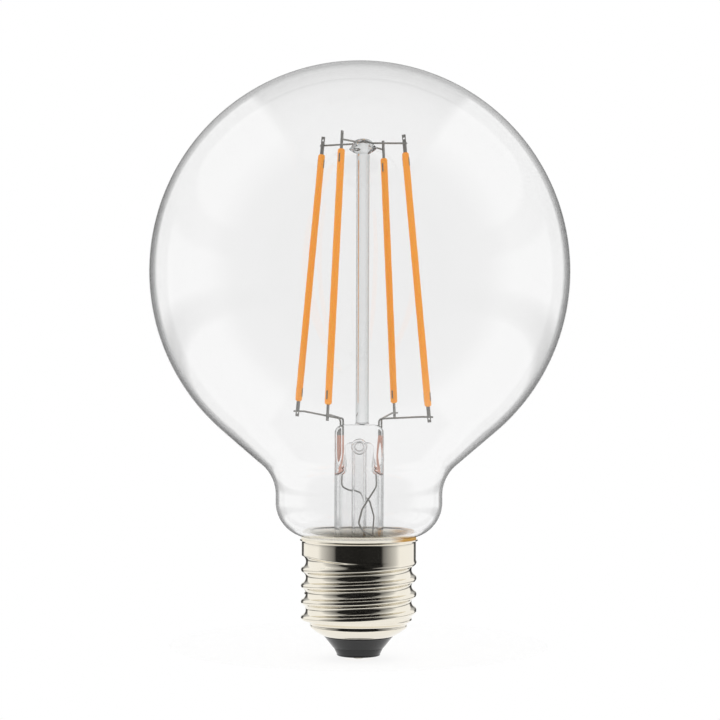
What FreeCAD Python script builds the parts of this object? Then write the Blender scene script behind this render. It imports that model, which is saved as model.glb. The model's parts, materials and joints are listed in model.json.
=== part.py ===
import FreeCAD, Part
import math
import os
import re

import Sketcher
from FreeCAD import Placement, Rotation, Vector

# Globe lamp with four LED filaments on a glass stem and a screw cap.
#
# Frame: millimetres, +Z up along the lamp's axis, origin at the lowest point of the cap's centre
# contact. -Y is the side that is looked at, +X is then to the right.

doc = FreeCAD.newDocument("globe_lamp")
sheet = doc.addObject("Spreadsheet::Sheet", "Sizes")

SIZES = [
    # Envelope: blown globe, straight flank, waist, and the neck tube that goes down into the cap
    ("globe_radius", 47.5, "outside of the globe"),
    ("glass_wall", 0.8, "wall of the envelope"),
    ("flank_angle", 49.5, "degrees between the flank and the axis"),
    ("waist_radius", 18.9, "outside of the waist"),
    ("waist_curve", 8.8, "hollow curve from the flank into the waist"),
    ("waist_straight", 1.619, "straight part of the waist"),
    ("mouth_curve", 8.1, "full curve from the waist to the neck tube"),
    ("mouth_fillet", 1.0, "hollow curve over the cap's mouth"),
    ("mouth_gap", 0.611, "glass over the cap's rim"),
    # Stem: flare tube pinched into a press at its top
    ("flare_radius", 5.575, "outside of the flare tube"),
    ("flare_wall", 1.0, "wall of the flare tube"),
    ("flare_gap", 0.4, "flare to the inside of the neck tube"),
    ("seal_room", 6.5, "board to the seal of flare and neck tube"),
    ("stem_height", 33.5, "seal to the top of the press"),
    ("pinch_length", 7.0, "from the round tube to the flat press"),
    ("press_height", 5.5, "flat part of the press"),
    ("press_corner", 2.0, "rounding of the press's upper corners"),
    ("press_wall", 0.85, "glass in front of the exhaust tube"),
    ("press_roof", 3.6, "glass over the hollow under the press"),
    ("arch_edge", 2.275, "glass beside that hollow"),
    ("arch_corner", 1.5, "rounding of its upper corners"),
    ("arch_height", 5.5, "its height, down to where it widens"),
    ("arch_slope", 1.6, "height over which it widens to the tube's bore"),
    ("blow_hole_drop", 1.1, "blow hole under the top of the hollow"),
    ("blow_hole_radius", 0.8, "hole in the press and the tube"),
    ("blow_lip_radius", 1.25, "ring of glass round the blow hole"),
    ("blow_lip_bead", 0.4, "bead radius of that ring"),
    ("blow_lip_sink", 0.12, "bead sunk in the press"),
    ("exhaust_radius", 1.675, "outside of the exhaust tube"),
    ("exhaust_wall", 0.55, "wall of the exhaust tube"),
    ("exhaust_gap", 0.08, "exhaust tube to the press's hollow"),
    ("exhaust_tip_room", 1.3, "board to the tip of the sealed tube"),
    ("exhaust_tip_glass", 0.9, "glass in that tip"),
    # Rod and button
    ("rod_offset", 0.65, "rod and cage stand this far off the axis"),
    ("rod_radius", 1.46, "centre rod"),
    ("rod_embed", 3.0, "rod inside the press"),
    ("rod_collar_width", 0.35, "glass drawn up round the rod's foot"),
    ("rod_collar_edge", 0.05, "its width at its top"),
    ("rod_collar_rise", 0.5, "its height"),
    ("button_drop", 0.2, "button's underside below the coats' ends"),
    ("button_height", 3.5, "button"),
    ("button_radius", 2.85, "body of the button"),
    ("button_body", 0.7, "straight height of the body"),
    ("button_crown_radius", 2.1, "crown of the button"),
    ("button_rounding", 0.35, "rounding of the crown"),
    ("lobe_radius", 1.15, "lobe of glass under each wire"),
    ("lobe_reach", 3.35, "lobes from the rod's axis"),
    ("lobe_rise", 1.25, "middle of the lobes over the button's underside"),
    # Filament cage: four filaments on a cone, placed by the ends of their coats
    ("first_azimuth", 63.0, "degrees of the first filament, then every 90"),
    ("crown_room", 20.6, "upper coat ends to the crown of the globe"),
    ("lead_height", 4.65, "lower coat ends over the press"),
    ("upper_ring_radius", 10.6, "upper coat ends from the rod's axis"),
    ("lower_ring_radius", 16.45, "lower coat ends from the rod's axis"),
    ("cage_tilt_angle", 1.43, "degrees that the cage falls towards +X"),
    ("coat_radius", 0.7, "phosphor coat"),
    ("coat_rounding", 0.5, "rounding of the coat's ends"),
    ("strip_width", 0.8, "carrier strip"),
    ("strip_thickness", 0.3, "carrier strip and tabs"),
    ("tab_width", 0.8, "tab outside the coat"),
    ("clip_width", 1.66, "clip of the tab on the strip"),
    ("clip_near", 1.2, "clip's upper end below the coat's end"),
    ("clip_far", 3.1, "clip's lower end below the coat's end"),
    ("upper_tab_reach", 4.0, "upper tab beyond the coat"),
    ("lower_tab_reach", 3.5, "lower tab beyond the coat"),
    ("upper_weld_reach", 2.0, "weld to the top wire beyond the coat"),
    ("lower_weld_reach", 2.3, "weld to the lead beyond the coat"),
    ("tab_hole_radius", 0.25, "hole in the tab"),
    ("tab_hole_inset", 0.85, "hole from the tab's end"),
    # Wires
    ("support_wire_radius", 0.21, "top wires and leads to the filaments"),
    ("wire_overhang", 0.78, "wire past the middle of the tab"),
    ("top_wire_rise", 2.45, "top wires over the button's underside"),
    ("top_wire_bend", 0.6, "bend of a top wire in the button"),
    ("lead_shift", 0.4, "the leads' middle off the axis"),
    ("lead_edge", 1.225, "each pair of leads from the press's edge"),
    ("lead_pair_half", 0.3, "half the distance between a pair"),
    ("lead_rise", 1.3, "bend of the leads above the press"),
    ("lead_bend", 0.9, "bend radius there"),
    ("lead_straight", 2.0, "straight end of a lead at its tab"),
    ("lead_embed", 2.1, "lead in the press"),
    ("seal_wire_radius", 0.2, "copper-clad wire in the press"),
    ("seal_wire_length", 8.0, "its height"),
    ("hairpin_bend", 0.24, "its bend radius"),
    ("seal_foot_inset", 0.605, "its bend from the bore of the tube"),
    ("outer_lead_radius", 0.2, "lead in the flare tube"),
    ("outer_lead_bend", 1.4, "largest bend radius there"),
    # Cap: rolled sheet shell with a knuckle thread of seven turns to the inch
    ("sheet", 0.3, "sheet of the shell"),
    ("collar_radius", 12.95, "plain collar over the thread"),
    ("crest_step", 0.15, "thread crests outside the collar"),
    ("thread_depth", 1.1, "crests to roots"),
    ("thread_low_level", 7.9, "lower end of the threaded band"),
    ("thread_height", 16.0, "threaded band"),
    ("groove_fade", 1.4, "the last groove runs out over this height"),
    ("bowl_blend", 1.0, "the thread runs into the bowl over this height"),
    ("collar_height", 2.5, "collar"),
    ("rim_curve", 0.5, "hollow curve under the turned-out rim"),
    ("rim_angle", 80.0, "degrees the rim is turned out"),
    ("bowl_inset", 0.72, "bowl inside the thread's roots"),
    ("bowl_rise", 1.1, "middle of the bowl's curve over the band's lower end"),
    ("bowl_curve", 3.92, "outside curve of the bowl"),
    ("shell_hole_radius", 7.8, "hole in the bottom of the shell"),
    ("cement_thickness", 1.45, "cement between the neck tube and the collar"),
    ("cement_rise", 0.05, "cement's foot over the collar's foot"),
    # Glass insulator, contact and solder
    ("insulator_drop", 0.9, "top of the glass below the threaded band"),
    ("insulator_step_level", 2.6, "small step in the cone"),
    ("insulator_step_radius", 5.75, "cone at that step"),
    ("insulator_step", 0.2, "width of the step"),
    ("insulator_foot_level", 1.1, "lower edge of the cone"),
    ("insulator_foot_radius", 4.8, "cone at its lower edge"),
    ("insulator_foot_round", 0.3, "slope from that edge to the land"),
    ("insulator_land_level", 0.8, "land round the contact"),
    ("insulator_hole_radius", 0.9, "hole for the wire"),
    ("contact_radius", 3.6, "contact plate"),
    ("contact_dome", 10.0, "radius of the plate's dome"),
    ("contact_low_level", 0.2, "lowest point of that dome"),
    ("contact_sheet", 0.35, "sheet of the plate"),
    ("contact_hole_radius", 0.6, "eyelet in the plate"),
    ("solder_radius", 1.6, "drop of solder on the plate"),
    ("solder_rise", 0.55, "solder inside the insulator's hole"),
    # Driver inside the cap
    ("board_gap", 0.15, "board to the shell's thread roots"),
    ("board_rise", 4.1, "underside of the board over the band's lower end"),
    ("board_thickness", 1.0, "board"),
    ("board_hole_inset", 1.2, "shell wire's hole from the board's edge"),
    ("wire_stub", 0.3, "wires' ends through the board"),
    ("capacitor_radius", 2.5, "smoothing capacitor"),
    ("capacitor_length", 8.0, "its length"),
    ("capacitor_sleeve_fold", 0.4, "slope of its ends"),
    ("capacitor_inset", 5.25, "its axis from the board's edge"),
    ("bridge_length", 4.7, "bridge rectifier"),
    ("bridge_width", 3.9, "its width"),
    ("bridge_thickness", 1.6, "its height"),
    ("bridge_left", 5.6, "its middle to the left of the axis"),
    ("bridge_front", 3.6, "its middle in front of the axis"),
    ("chip_length", 4.9, "driver chip"),
    ("chip_width", 3.8, "its width"),
    ("chip_thickness", 1.4, "its height"),
    ("chip_left", 4.6, "its middle to the left of the axis"),
    ("resistor_length", 2.0, "chip resistor"),
    ("resistor_width", 1.25, "its width"),
    ("resistor_thickness", 0.55, "its height"),
    ("resistor_pitch", 2.1, "between two chip resistors"),
    ("resistor_right", 3.2, "the first one's middle to the right of the axis"),
    ("resistor_behind", 5.2, "the row behind the axis"),
    ("fuse_radius", 1.1, "fuse resistor's body"),
    ("fuse_length", 3.2, "its length"),
    ("fuse_gap", 0.5, "its body under the board"),
    ("fuse_wire_radius", 0.3, "its two wires"),
    ("fuse_wire_foot_level", 0.5, "its lower end in the solder"),
    ("shell_wire_radius", 0.25, "wire from the board to the shell"),
    ("shell_wire_rise", 1.8, "its bend above the board"),
]

# What follows from the sizes. Levels build up from the band of the cap, radii inwards from its collar

WORKED_OUT = {
    "crest_radius": "collar_radius + crest_step",
    "thread_mean_radius": "crest_radius - thread_depth / 2",
    "root_radius": "crest_radius - thread_depth",
    "neck_tube_radius": "collar_radius - sheet - cement_thickness",
    "bowl_centre_radius": "root_radius - bowl_inset - bowl_curve",
    "rim_centre_radius": "collar_radius + rim_curve",
    "rim_reach": "rim_curve + sheet",
    "cutter_half": "2 * neck_tube_radius",
    "bore_radius": "flare_radius - flare_wall",
    "flare_curve": "neck_tube_radius - glass_wall - flare_gap - flare_radius",
    "flare_centre_radius": "flare_radius + flare_curve",
    "press_half": "exhaust_radius + exhaust_gap + press_wall",
    "hollow_half": "exhaust_radius + exhaust_gap",
    "exhaust_bore": "exhaust_radius - exhaust_wall",
    "arch_half_width": "flare_radius - arch_edge",
    "waist_centre_radius": "waist_radius + waist_curve",
    "mouth_centre_radius": "waist_radius - mouth_curve",
    "fillet_centre_radius": "neck_tube_radius + mouth_fillet",
    "fillet_run": "fillet_centre_radius - mouth_centre_radius",
    "fillet_reach": "mouth_curve + mouth_fillet",
    "weld_side": "strip_thickness / 2 + support_wire_radius",
    "lead_spread": "flare_radius - lead_edge",
    "seal_foot_spread": "bore_radius - seal_foot_inset",
    "board_radius": "root_radius - sheet - board_gap",
    "insulator_top_level": "thread_low_level - insulator_drop",
    "bowl_level": "thread_low_level + bowl_rise",
    "board_level": "thread_low_level + board_rise",
    "board_top_level": "board_level + board_thickness",
    "thread_high_level": "thread_low_level + thread_height",
    "collar_top_level": "thread_high_level + collar_height",
    "rim_top_level": "collar_top_level + rim_reach * sin(rim_angle)",
    "rim_top_radius": "rim_centre_radius - rim_reach * cos(rim_angle)",
    "waist_level": "rim_top_level + mouth_gap"
                   " + sqrt(mouth_curve^2 - (rim_top_radius - mouth_centre_radius)^2)",
    "fillet_level": "waist_level - sqrt(fillet_reach^2 - fillet_run^2)",
    "waist_curve_level": "waist_level + waist_straight",
    "globe_level": "waist_curve_level + (globe_radius + waist_curve"
                   " - waist_centre_radius * cos(flank_angle)) / sin(flank_angle)",
    "crown_level": "globe_level + globe_radius",
    "seal_level": "board_top_level + seal_room",
    "flare_curve_level": "seal_level + flare_curve",
    "exhaust_tip_level": "board_top_level + exhaust_tip_room",
    "press_top_level": "seal_level + stem_height",
    "pinch_high_level": "press_top_level - press_height",
    "pinch_low_level": "pinch_high_level - pinch_length",
    "arch_top_level": "press_top_level - press_roof",
    "arch_foot_level": "arch_top_level - arch_height",
    "blow_hole_level": "arch_top_level - blow_hole_drop",
    "lead_foot_level": "press_top_level - lead_embed",
    "seal_foot_level": "lead_foot_level - seal_wire_length",
    "lower_ring_level": "press_top_level + lead_height",
    "upper_ring_level": "crown_level - crown_room",
    "button_low_level": "upper_ring_level - button_drop",
    "button_high_level": "button_low_level + button_height",
    "top_wire_level": "button_low_level + top_wire_rise",
    "lobe_level": "button_low_level + lobe_rise",
}

for row, (name, value, meaning) in enumerate(SIZES, start=1):
    sheet.set(f"A{row}", name)
    sheet.set(f"B{row}", str(value))
    sheet.setAlias(f"B{row}", name)
    sheet.set(f"C{row}", meaning)
doc.recompute()

SIZE_NAMES = {name for name, value, meaning in SIZES}
FILAMENTS = ["right_inner", "left_outer", "left_inner", "right_outer"]
FRONT_VIEW = Placement(Vector(), Rotation(Vector(1, 0, 0), 90))
SIDE_VIEW = Placement(Vector(), Rotation(Vector(1, 1, 1), 120))

nodes = {}


# Values and bindings

def bound(words):
    """An expression in the names above, worked back to sizes, with each one pointed at the sheet."""
    def pointed(found):
        name = found[0]
        if name in WORKED_OUT:
            return f"({bound(WORKED_OUT[name])})"
        return f"Sizes.{name}" if name in SIZE_NAMES else name

    return re.sub(r"[a-z_]+", pointed, words)


def number(words):
    """What an expression in size names comes to."""
    return float(sheet.evalExpression(bound(words)))


def bind(thing, **expressions):
    """Binds properties of an object to expressions in size names."""
    for prop, words in expressions.items():
        thing.setExpression(prop, bound(words))


def place(thing, along_x="0", along_y="0", level="0", yaw="0", pitch="0"):
    """Binds an object's Placement: its origin, then a turn about Z and a lean about its own Y."""
    where = f"create(<<vector>>; {bound(along_x)}; {bound(along_y)}; {bound(level)})"
    turn = f"create(<<rotation>>; {bound(yaw)}; {bound(pitch)}; 0)"
    thing.setExpression("Placement", f"create(<<placement>>; {where}; {turn})")


def keep(label, thing):
    """Names an object as one of the lamp's pieces."""
    thing.Label = label
    nodes[label] = thing
    return thing


# Sketched outlines
#
# An outline is a list of corners (x, y), with the centre of the arc that leads to a corner after it
# where that edge isn't straight: (x, y, centre_x, centre_y). All are expressions in size names.

def arc_between(start, end, centre):
    """The shorter arc from start to end, and whether it runs counter-clockwise."""
    first = math.atan2(start.y - centre.y, start.x - centre.x)
    last = math.atan2(end.y - centre.y, end.x - centre.x)
    sweep = (last - first + math.pi) % (2 * math.pi) - math.pi
    circle = Part.Circle(centre, Vector(0, 0, 1), (end - centre).Length)
    if sweep > 0:
        return Part.ArcOfCircle(circle, first, first + sweep), True
    return Part.ArcOfCircle(circle, last, last - sweep), False


def draw(sketch, outline):
    """Draws a closed outline in a sketch and binds each corner and each arc's radius."""
    corners = [Vector(number(c[0]), number(c[1]), 0) for c in outline]
    ends = []
    for i, corner in enumerate(outline):
        start, end = corners[i - 1], corners[i]
        if len(corner) == 2:
            edge = sketch.addGeometry(Part.LineSegment(start, end), False)
            ends.append((edge, 1, 2))
            continue
        centre = Vector(number(corner[2]), number(corner[3]), 0)
        arc, forward = arc_between(start, end, centre)
        edge = sketch.addGeometry(arc, False)
        ends.append((edge, 1, 2) if forward else (edge, 2, 1))
        reach = "sqrt(({0} - ({2}))^2 + ({1} - ({3}))^2)".format(*corner)
        radius = sketch.addConstraint(Sketcher.Constraint("Radius", edge, number(reach)))
        sketch.setExpression(f"Constraints[{radius}]", bound(reach))
    for i, (edge, first, last) in enumerate(ends):
        before = ends[i - 1]
        sketch.addConstraint(Sketcher.Constraint("Coincident", before[0], before[2], edge, first))
        for kind, words in zip(("DistanceX", "DistanceY"), outline[i]):
            held = Sketcher.Constraint(kind, -1, 1, edge, last, number(words))
            index = sketch.addConstraint(held)
            sketch.setExpression(f"Constraints[{index}]", bound(words))


def turned(name, outline):
    """A body turned about Z from an outline of (radius, level) corners."""
    body = doc.addObject("PartDesign::Body", name)
    sketch = body.newObject("Sketcher::SketchObject", name + "_outline")
    plane = [f for f in body.Origin.OriginFeatures if f.Role == "XZ_Plane"][0]
    sketch.AttachmentSupport = (plane, [""])
    sketch.MapMode = "FlatFace"
    draw(sketch, outline)
    turn = body.newObject("PartDesign::Revolution", name + "_turn")
    turn.Profile = sketch
    turn.ReferenceAxis = (sketch, ["V_Axis"])
    turn.Angle = 360
    return body


def slab(name, outline, thickness, view=FRONT_VIEW):
    """A flat piece from an outline in a view, with its thickness evenly on both sides."""
    sketch = doc.addObject("Sketcher::SketchObject", name + "_outline")
    sketch.Placement = view
    draw(sketch, outline)
    piece = doc.addObject("Part::Extrusion", name)
    piece.Base = sketch
    piece.DirMode = "Normal"
    piece.Symmetric = True
    piece.Solid = True
    bind(piece, LengthFwd=thickness)
    return piece


def both_sides(half):
    """A half outline, given upwards on the +X side, made whole with its mirror image."""
    other = []
    for i in range(len(half) - 1, -1, -1):
        after = half[i + 1] if i + 1 < len(half) else half[i][:2]
        mirrored = (f"-({half[i][0]})", half[i][1])
        if len(after) == 4:
            mirrored += (f"-({after[2]})", after[3])
        other.append(mirrored)
    return list(half) + other


# Solids from other solids

def rod(name, radius, length, along_x="0", along_y="0", level="0", yaw="0", pitch="0"):
    piece = doc.addObject("Part::Cylinder", name)
    bind(piece, Radius=radius, Height=length)
    place(piece, along_x, along_y, level, yaw, pitch)
    return piece


def joined(name, pieces):
    piece = doc.addObject("Part::MultiFuse", name)
    piece.Shapes = pieces
    return piece


def shared(name, pieces):
    piece = doc.addObject("Part::MultiCommon", name)
    piece.Shapes = pieces
    return piece


def cut(name, base, tools):
    """The base less each tool in turn."""
    for i, tool in enumerate(tools):
        piece = doc.addObject("Part::Cut", f"{name}_cut_{i + 1}")
        piece.Base = base
        piece.Tool = tool
        base = piece
    return base


# Bent wires: straight runs joined by tangent arcs

# The share of its shorter run that a bend may take, and how closely a swept volume must agree
BEND_SHARE, SWEEP_TOLERANCE = 0.45, 0.01


def bent_path(points, bend):
    """A path through the points, each corner rounded with the bend radius or what its runs allow."""
    edges = []
    start = points[0]
    for before, corner, after in zip(points, points[1:], points[2:]):
        back, ahead = (before - corner), (after - corner)
        turn = math.pi - back.getAngle(ahead)
        shorter = min(back.Length, ahead.Length)
        radius = min(bend, BEND_SHARE * shorter / math.tan(turn / 2))
        trim = radius * math.tan(turn / 2)
        back.normalize()
        ahead.normalize()
        towards = (back + ahead).normalize()
        middle = corner + towards * (radius / math.cos(turn / 2) - radius)
        edges.append(Part.LineSegment(start, corner + back * trim).toShape())
        edges.append(Part.Arc(corner + back * trim, middle, corner + ahead * trim).toShape())
        start = corner + ahead * trim
    edges.append(Part.LineSegment(start, points[-1]).toShape())
    return Part.Wire(edges)


def bent_wire(name, points, radius, bend):
    path = bent_path(points, bend)
    end = Part.Wire(Part.makeCircle(radius, points[0], points[1] - points[0]))
    piece = doc.addObject("Part::Feature", name)
    piece.Shape = path.makePipeShell([end], True, False)
    expected = math.pi * radius ** 2 * path.Length
    if abs(piece.Shape.Volume / expected - 1) > SWEEP_TOLERANCE:
        raise ValueError(f"{name} is not a clean sweep")
    return piece


# Envelope

def envelope_side(depth):
    """The envelope's outline from the crown to the seal, at a depth into the glass.

    The flank touches the globe and the hollow waist curve, whose centre lies outside the glass. The
    mouth curve and the hollow fillet under it touch on the line between their centres.
    """
    globe, waist = f"(globe_radius - {depth})", f"(waist_curve + {depth})"
    share = f"((mouth_curve - {depth}) / fillet_reach)"
    return [
        ("0", f"crown_level - {depth}"),
        (f"{globe} * cos(flank_angle)", f"globe_level - {globe} * sin(flank_angle)",
         "0", "globe_level"),
        (f"waist_centre_radius - {waist} * cos(flank_angle)",
         f"waist_curve_level + {waist} * sin(flank_angle)"),
        (f"waist_radius - {depth}", "waist_curve_level", "waist_centre_radius", "waist_curve_level"),
        (f"waist_radius - {depth}", "waist_level"),
        (f"mouth_centre_radius + {share} * fillet_run",
         f"waist_level - {share} * (waist_level - fillet_level)", "mouth_centre_radius", "waist_level"),
        (f"neck_tube_radius - {depth}", "fillet_level", "fillet_centre_radius", "fillet_level"),
        (f"neck_tube_radius - {depth}", "seal_level"),
    ]


def reversed_side(side):
    """The same outline drawn the other way, with each arc's centre on the corner it now leads to."""
    back = []
    for i in range(len(side) - 1, -1, -1):
        led_from = side[i + 1] if i + 1 < len(side) else side[i][:2]
        back.append(side[i][:2] + tuple(led_from[2:]))
    return back


def make_envelope():
    outline = envelope_side("0") + reversed_side(envelope_side("glass_wall"))
    keep("glass_envelope", turned("glass_envelope", outline))


# Filament cage

def azimuth_of(index):
    """An expression for the direction of a filament, in degrees from +X."""
    return f"(first_azimuth + {90 * index})"


def on_ring(ring, index):
    """Expressions for one end of a filament's coat: x, y and level."""
    azimuth = azimuth_of(index)
    along_x = f"(rod_offset + {ring}_ring_radius * cos{azimuth})"
    along_y = f"({ring}_ring_radius * sin{azimuth})"
    fall = f"tan(cage_tilt_angle) * {ring}_ring_radius * cos{azimuth}"
    level = f"({ring}_ring_level - {fall})"
    return along_x, along_y, level


def coat_lean(index):
    """Degrees between one filament and the lamp's axis, and the length of its coat."""
    azimuth = azimuth_of(index)
    step = "(lower_ring_radius - upper_ring_radius)"
    tilt = f"tan(cage_tilt_angle) * {step} * cos{azimuth}"
    rise = f"(upper_ring_level - lower_ring_level + {tilt})"
    return f"atan({step} / {rise})", f"sqrt({step}^2 + {rise}^2)"


def tab_outline(reach):
    """A flat tab standing on the coat's end at the origin, with its clip inside the coat."""
    half, clip = "tab_width / 2", "clip_width / 2"
    return both_sides([
        (clip, "-clip_far"), (clip, "-clip_near"), (half, "-clip_near"), (half, reach)])


def make_tab(name, ring, index):
    """A tab with its hole, leaning with its filament. A lower tab is turned over."""
    reach = f"{ring}_tab_reach"
    plate = slab(name + "_plate", tab_outline(reach), "strip_thickness")
    hole = doc.addObject("Part::Cylinder", name + "_hole")
    bind(hole, Radius="tab_hole_radius", Height="2 * strip_thickness")
    hole.Placement = Placement(Vector(), Rotation(Vector(1, 0, 0), 90))
    hole.setExpression("Placement.Base.y", bound("strip_thickness"))
    hole.setExpression("Placement.Base.z", bound(f"{reach} - tab_hole_inset"))
    tab = cut(name, plate, [hole])
    lean, length = coat_lean(index)
    turn = f"-({lean})" if ring == "upper" else f"180 deg - ({lean})"
    place(tab, *on_ring(ring, index), yaw=azimuth_of(index), pitch=turn)
    return keep(name, tab)


def make_filament(index, side):
    name = "filament_" + side
    lean, length = coat_lean(index)
    at = dict(zip(("along_x", "along_y", "level"), on_ring("lower", index)))
    at["yaw"] = azimuth_of(index)
    at["pitch"] = f"-({lean})"
    tabs = [make_tab(f"{name}_upper_tab", "upper", index),
            make_tab(f"{name}_lower_tab", "lower", index)]
    half = "strip_width / 2"
    strip = slab(f"{name}_strip", both_sides([
        (half, "clip_far"), (half, f"{length} - clip_far")]), "strip_thickness")
    place(strip, **at)
    keep(f"{name}_strip", strip)
    core = "coat_radius - coat_rounding"
    blank = turned(f"{name}_blank", [
        ("0", "0"), (core, "0"), ("coat_radius", "coat_rounding", core, "coat_rounding"),
        ("coat_radius", f"{length} - coat_rounding"),
        (core, length, core, f"{length} - coat_rounding"), ("0", length)])
    place(blank, **at)
    keep(f"{name}_coat", cut(f"{name}_coat", blank, [strip] + tabs))


def weld_point(ring, index):
    """The middle of a weld on a tab's face, and the outward direction along the tab's plane."""
    azimuth = math.radians(number(azimuth_of(index)))
    outward = Vector(math.cos(azimuth), math.sin(azimuth), 0)
    lean = math.radians(number(coat_lean(index)[0]))
    up = outward * -math.sin(lean) + Vector(0, 0, math.cos(lean))
    end = Vector(*[number(words) for words in on_ring(ring, index)])
    reach = number(f"{ring}_weld_reach")
    return end + up * (reach if ring == "upper" else -reach), outward


def make_top_wire(name, first, second):
    """A wire through the button from one filament's tab to its neighbour's, 90 degrees on."""
    side = number("weld_side")
    start, out_first = weld_point("upper", first)
    end, out_second = weld_point("upper", second)
    start += out_second * side
    end += out_first * side
    corner = Vector(number("rod_offset"), 0, number("top_wire_level"))
    corner += (out_first + out_second) * side
    past = number("wire_overhang")
    points = [start + (start - corner).normalize() * past, corner,
              end + (end - corner).normalize() * past]
    wire = bent_wire(name, points, number("support_wire_radius"), number("top_wire_bend"))
    return keep(name, wire)


# Leads: support wire, copper-clad seal wire and outer lead on each side

def lead_place(side, which):
    """x and y where a lead leaves the press. The outer one of a pair goes to the outer filament."""
    hand = -1 if side == "left" else 1
    near = 1 if which == "outer" else -1
    along_x = number("lead_shift") + hand * number("lead_spread") - near * number("lead_pair_half")
    return Vector(along_x, -hand * near * number("lead_pair_half"), 0)


def make_lead(side, which):
    """A support wire from inside the press to the lower tab of its filament."""
    index = FILAMENTS.index(f"{side}_{which}")
    weld, outward = weld_point("lower", index)
    foot = lead_place(side, which)
    clockwise = Vector(outward.y, -outward.x, 0)
    weld += clockwise * number("weld_side") * (1 if (foot - weld).dot(clockwise) > 0 else -1)
    bottom = foot + Vector(0, 0, number("lead_foot_level"))
    knee = foot + Vector(0, 0, number("press_top_level + lead_rise"))
    straight = weld - outward * number("lead_straight")
    end = weld + outward * number("wire_overhang")
    name = f"lead_{side}_{which}"
    wire = bent_wire(name, [bottom, knee, straight, end], number("support_wire_radius"),
                     number("lead_bend"))
    return keep(name, wire)


def seal_foot(side):
    """The middle of the bend of a side's seal wire."""
    hand = -1 if side == "left" else 1
    return Vector(hand * number("seal_foot_spread"), 0, number("seal_foot_level"))


def make_seal_wire(side):
    """A hairpin in the press, one leg under each support wire of its side."""
    legs = [lead_place(side, "inner"), lead_place(side, "outer")]
    across = (legs[1] - legs[0]) * 0.5
    top = Vector(0, 0, number("lead_foot_level"))
    points = [legs[0] + top, seal_foot(side) - across, seal_foot(side) + across, legs[1] + top]
    wire = bent_wire(f"seal_wire_{side}", points, number("seal_wire_radius"),
                     number("hairpin_bend"))
    return keep(f"seal_wire_{side}", wire)


# Where each outer lead goes down to the board: x and y in the tube's bore
LEAD_FEET = {"left": (0.76, 0.37), "right": (0.66, -0.57)}
# The leads' hand-bent points: x and y as shares of the bore, level as a share of the way up from the
# seal to the hairpin. The left one passes behind the exhaust tube, the right one in front of it
LEAD_ROUTES = {
    "left": [(-0.57, 0.35, 0.81), (0.09, 0.55, 0.78), (0.57, 0.48, 0.68), (0.78, 0.35, 0.53),
             (0.72, 0.33, 0.36)],
    "right": [(0.57, -0.42, 0.76), (0.15, -0.55, 0.62), (-0.02, -0.55, 0.48), (0.2, -0.55, 0.39),
              (0.66, -0.53, 0.33)],
}
# The straight runs under the hairpin and over the board end at these shares
LEAD_KNEE, LEAD_ANKLE = 0.85, 0.1


def make_outer_lead(side):
    """A lead from the hairpin's bend down the flare tube, by hand-bent points, to the board."""
    bore, low, high = number("bore_radius"), number("seal_level"), number("seal_foot_level")
    head = seal_foot(side) - Vector(0, 0, number("seal_wire_radius"))
    foot = LEAD_FEET[side]
    inside = [(head.x / bore, 0, LEAD_KNEE), *LEAD_ROUTES[side], (*foot, LEAD_ANKLE)]
    route = [Vector(x * bore, y * bore, low + share * (high - low)) for x, y, share in inside]
    end = Vector(foot[0] * bore, foot[1] * bore, number("board_level - wire_stub"))
    wire = bent_wire(f"outer_lead_{side}", [head, *route, end], number("outer_lead_radius"),
                     number("outer_lead_bend"))
    return keep(f"outer_lead_{side}", wire)


def make_wires():
    wires = [make_top_wire("top_wire_front", 2, 3), make_top_wire("top_wire_back", 0, 1)]
    leads = [make_lead(side, which) for side in ("left", "right") for which in ("outer", "inner")]
    seals = [make_seal_wire("left"), make_seal_wire("right")]
    outer = [make_outer_lead("left"), make_outer_lead("right")]
    return wires, leads, seals, outer


# Stem

def pinch_side(full, flat):
    """Half a side view: from a tube's radius to half the press's depth in two equal tangent arcs."""
    rise = "(pinch_high_level - pinch_low_level)"
    step = f"({full} - ({flat}))"
    curve = f"(({rise}^2 + {step}^2) / (4 * {step}))"
    middle = "(pinch_low_level + pinch_high_level) / 2"
    return [
        (full, "pinch_low_level"),
        (f"({full} + {flat}) / 2", middle, f"{full} - {curve}", "pinch_low_level"),
        (flat, "pinch_high_level", f"{flat} + {curve}", "pinch_high_level"),
    ]


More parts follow.
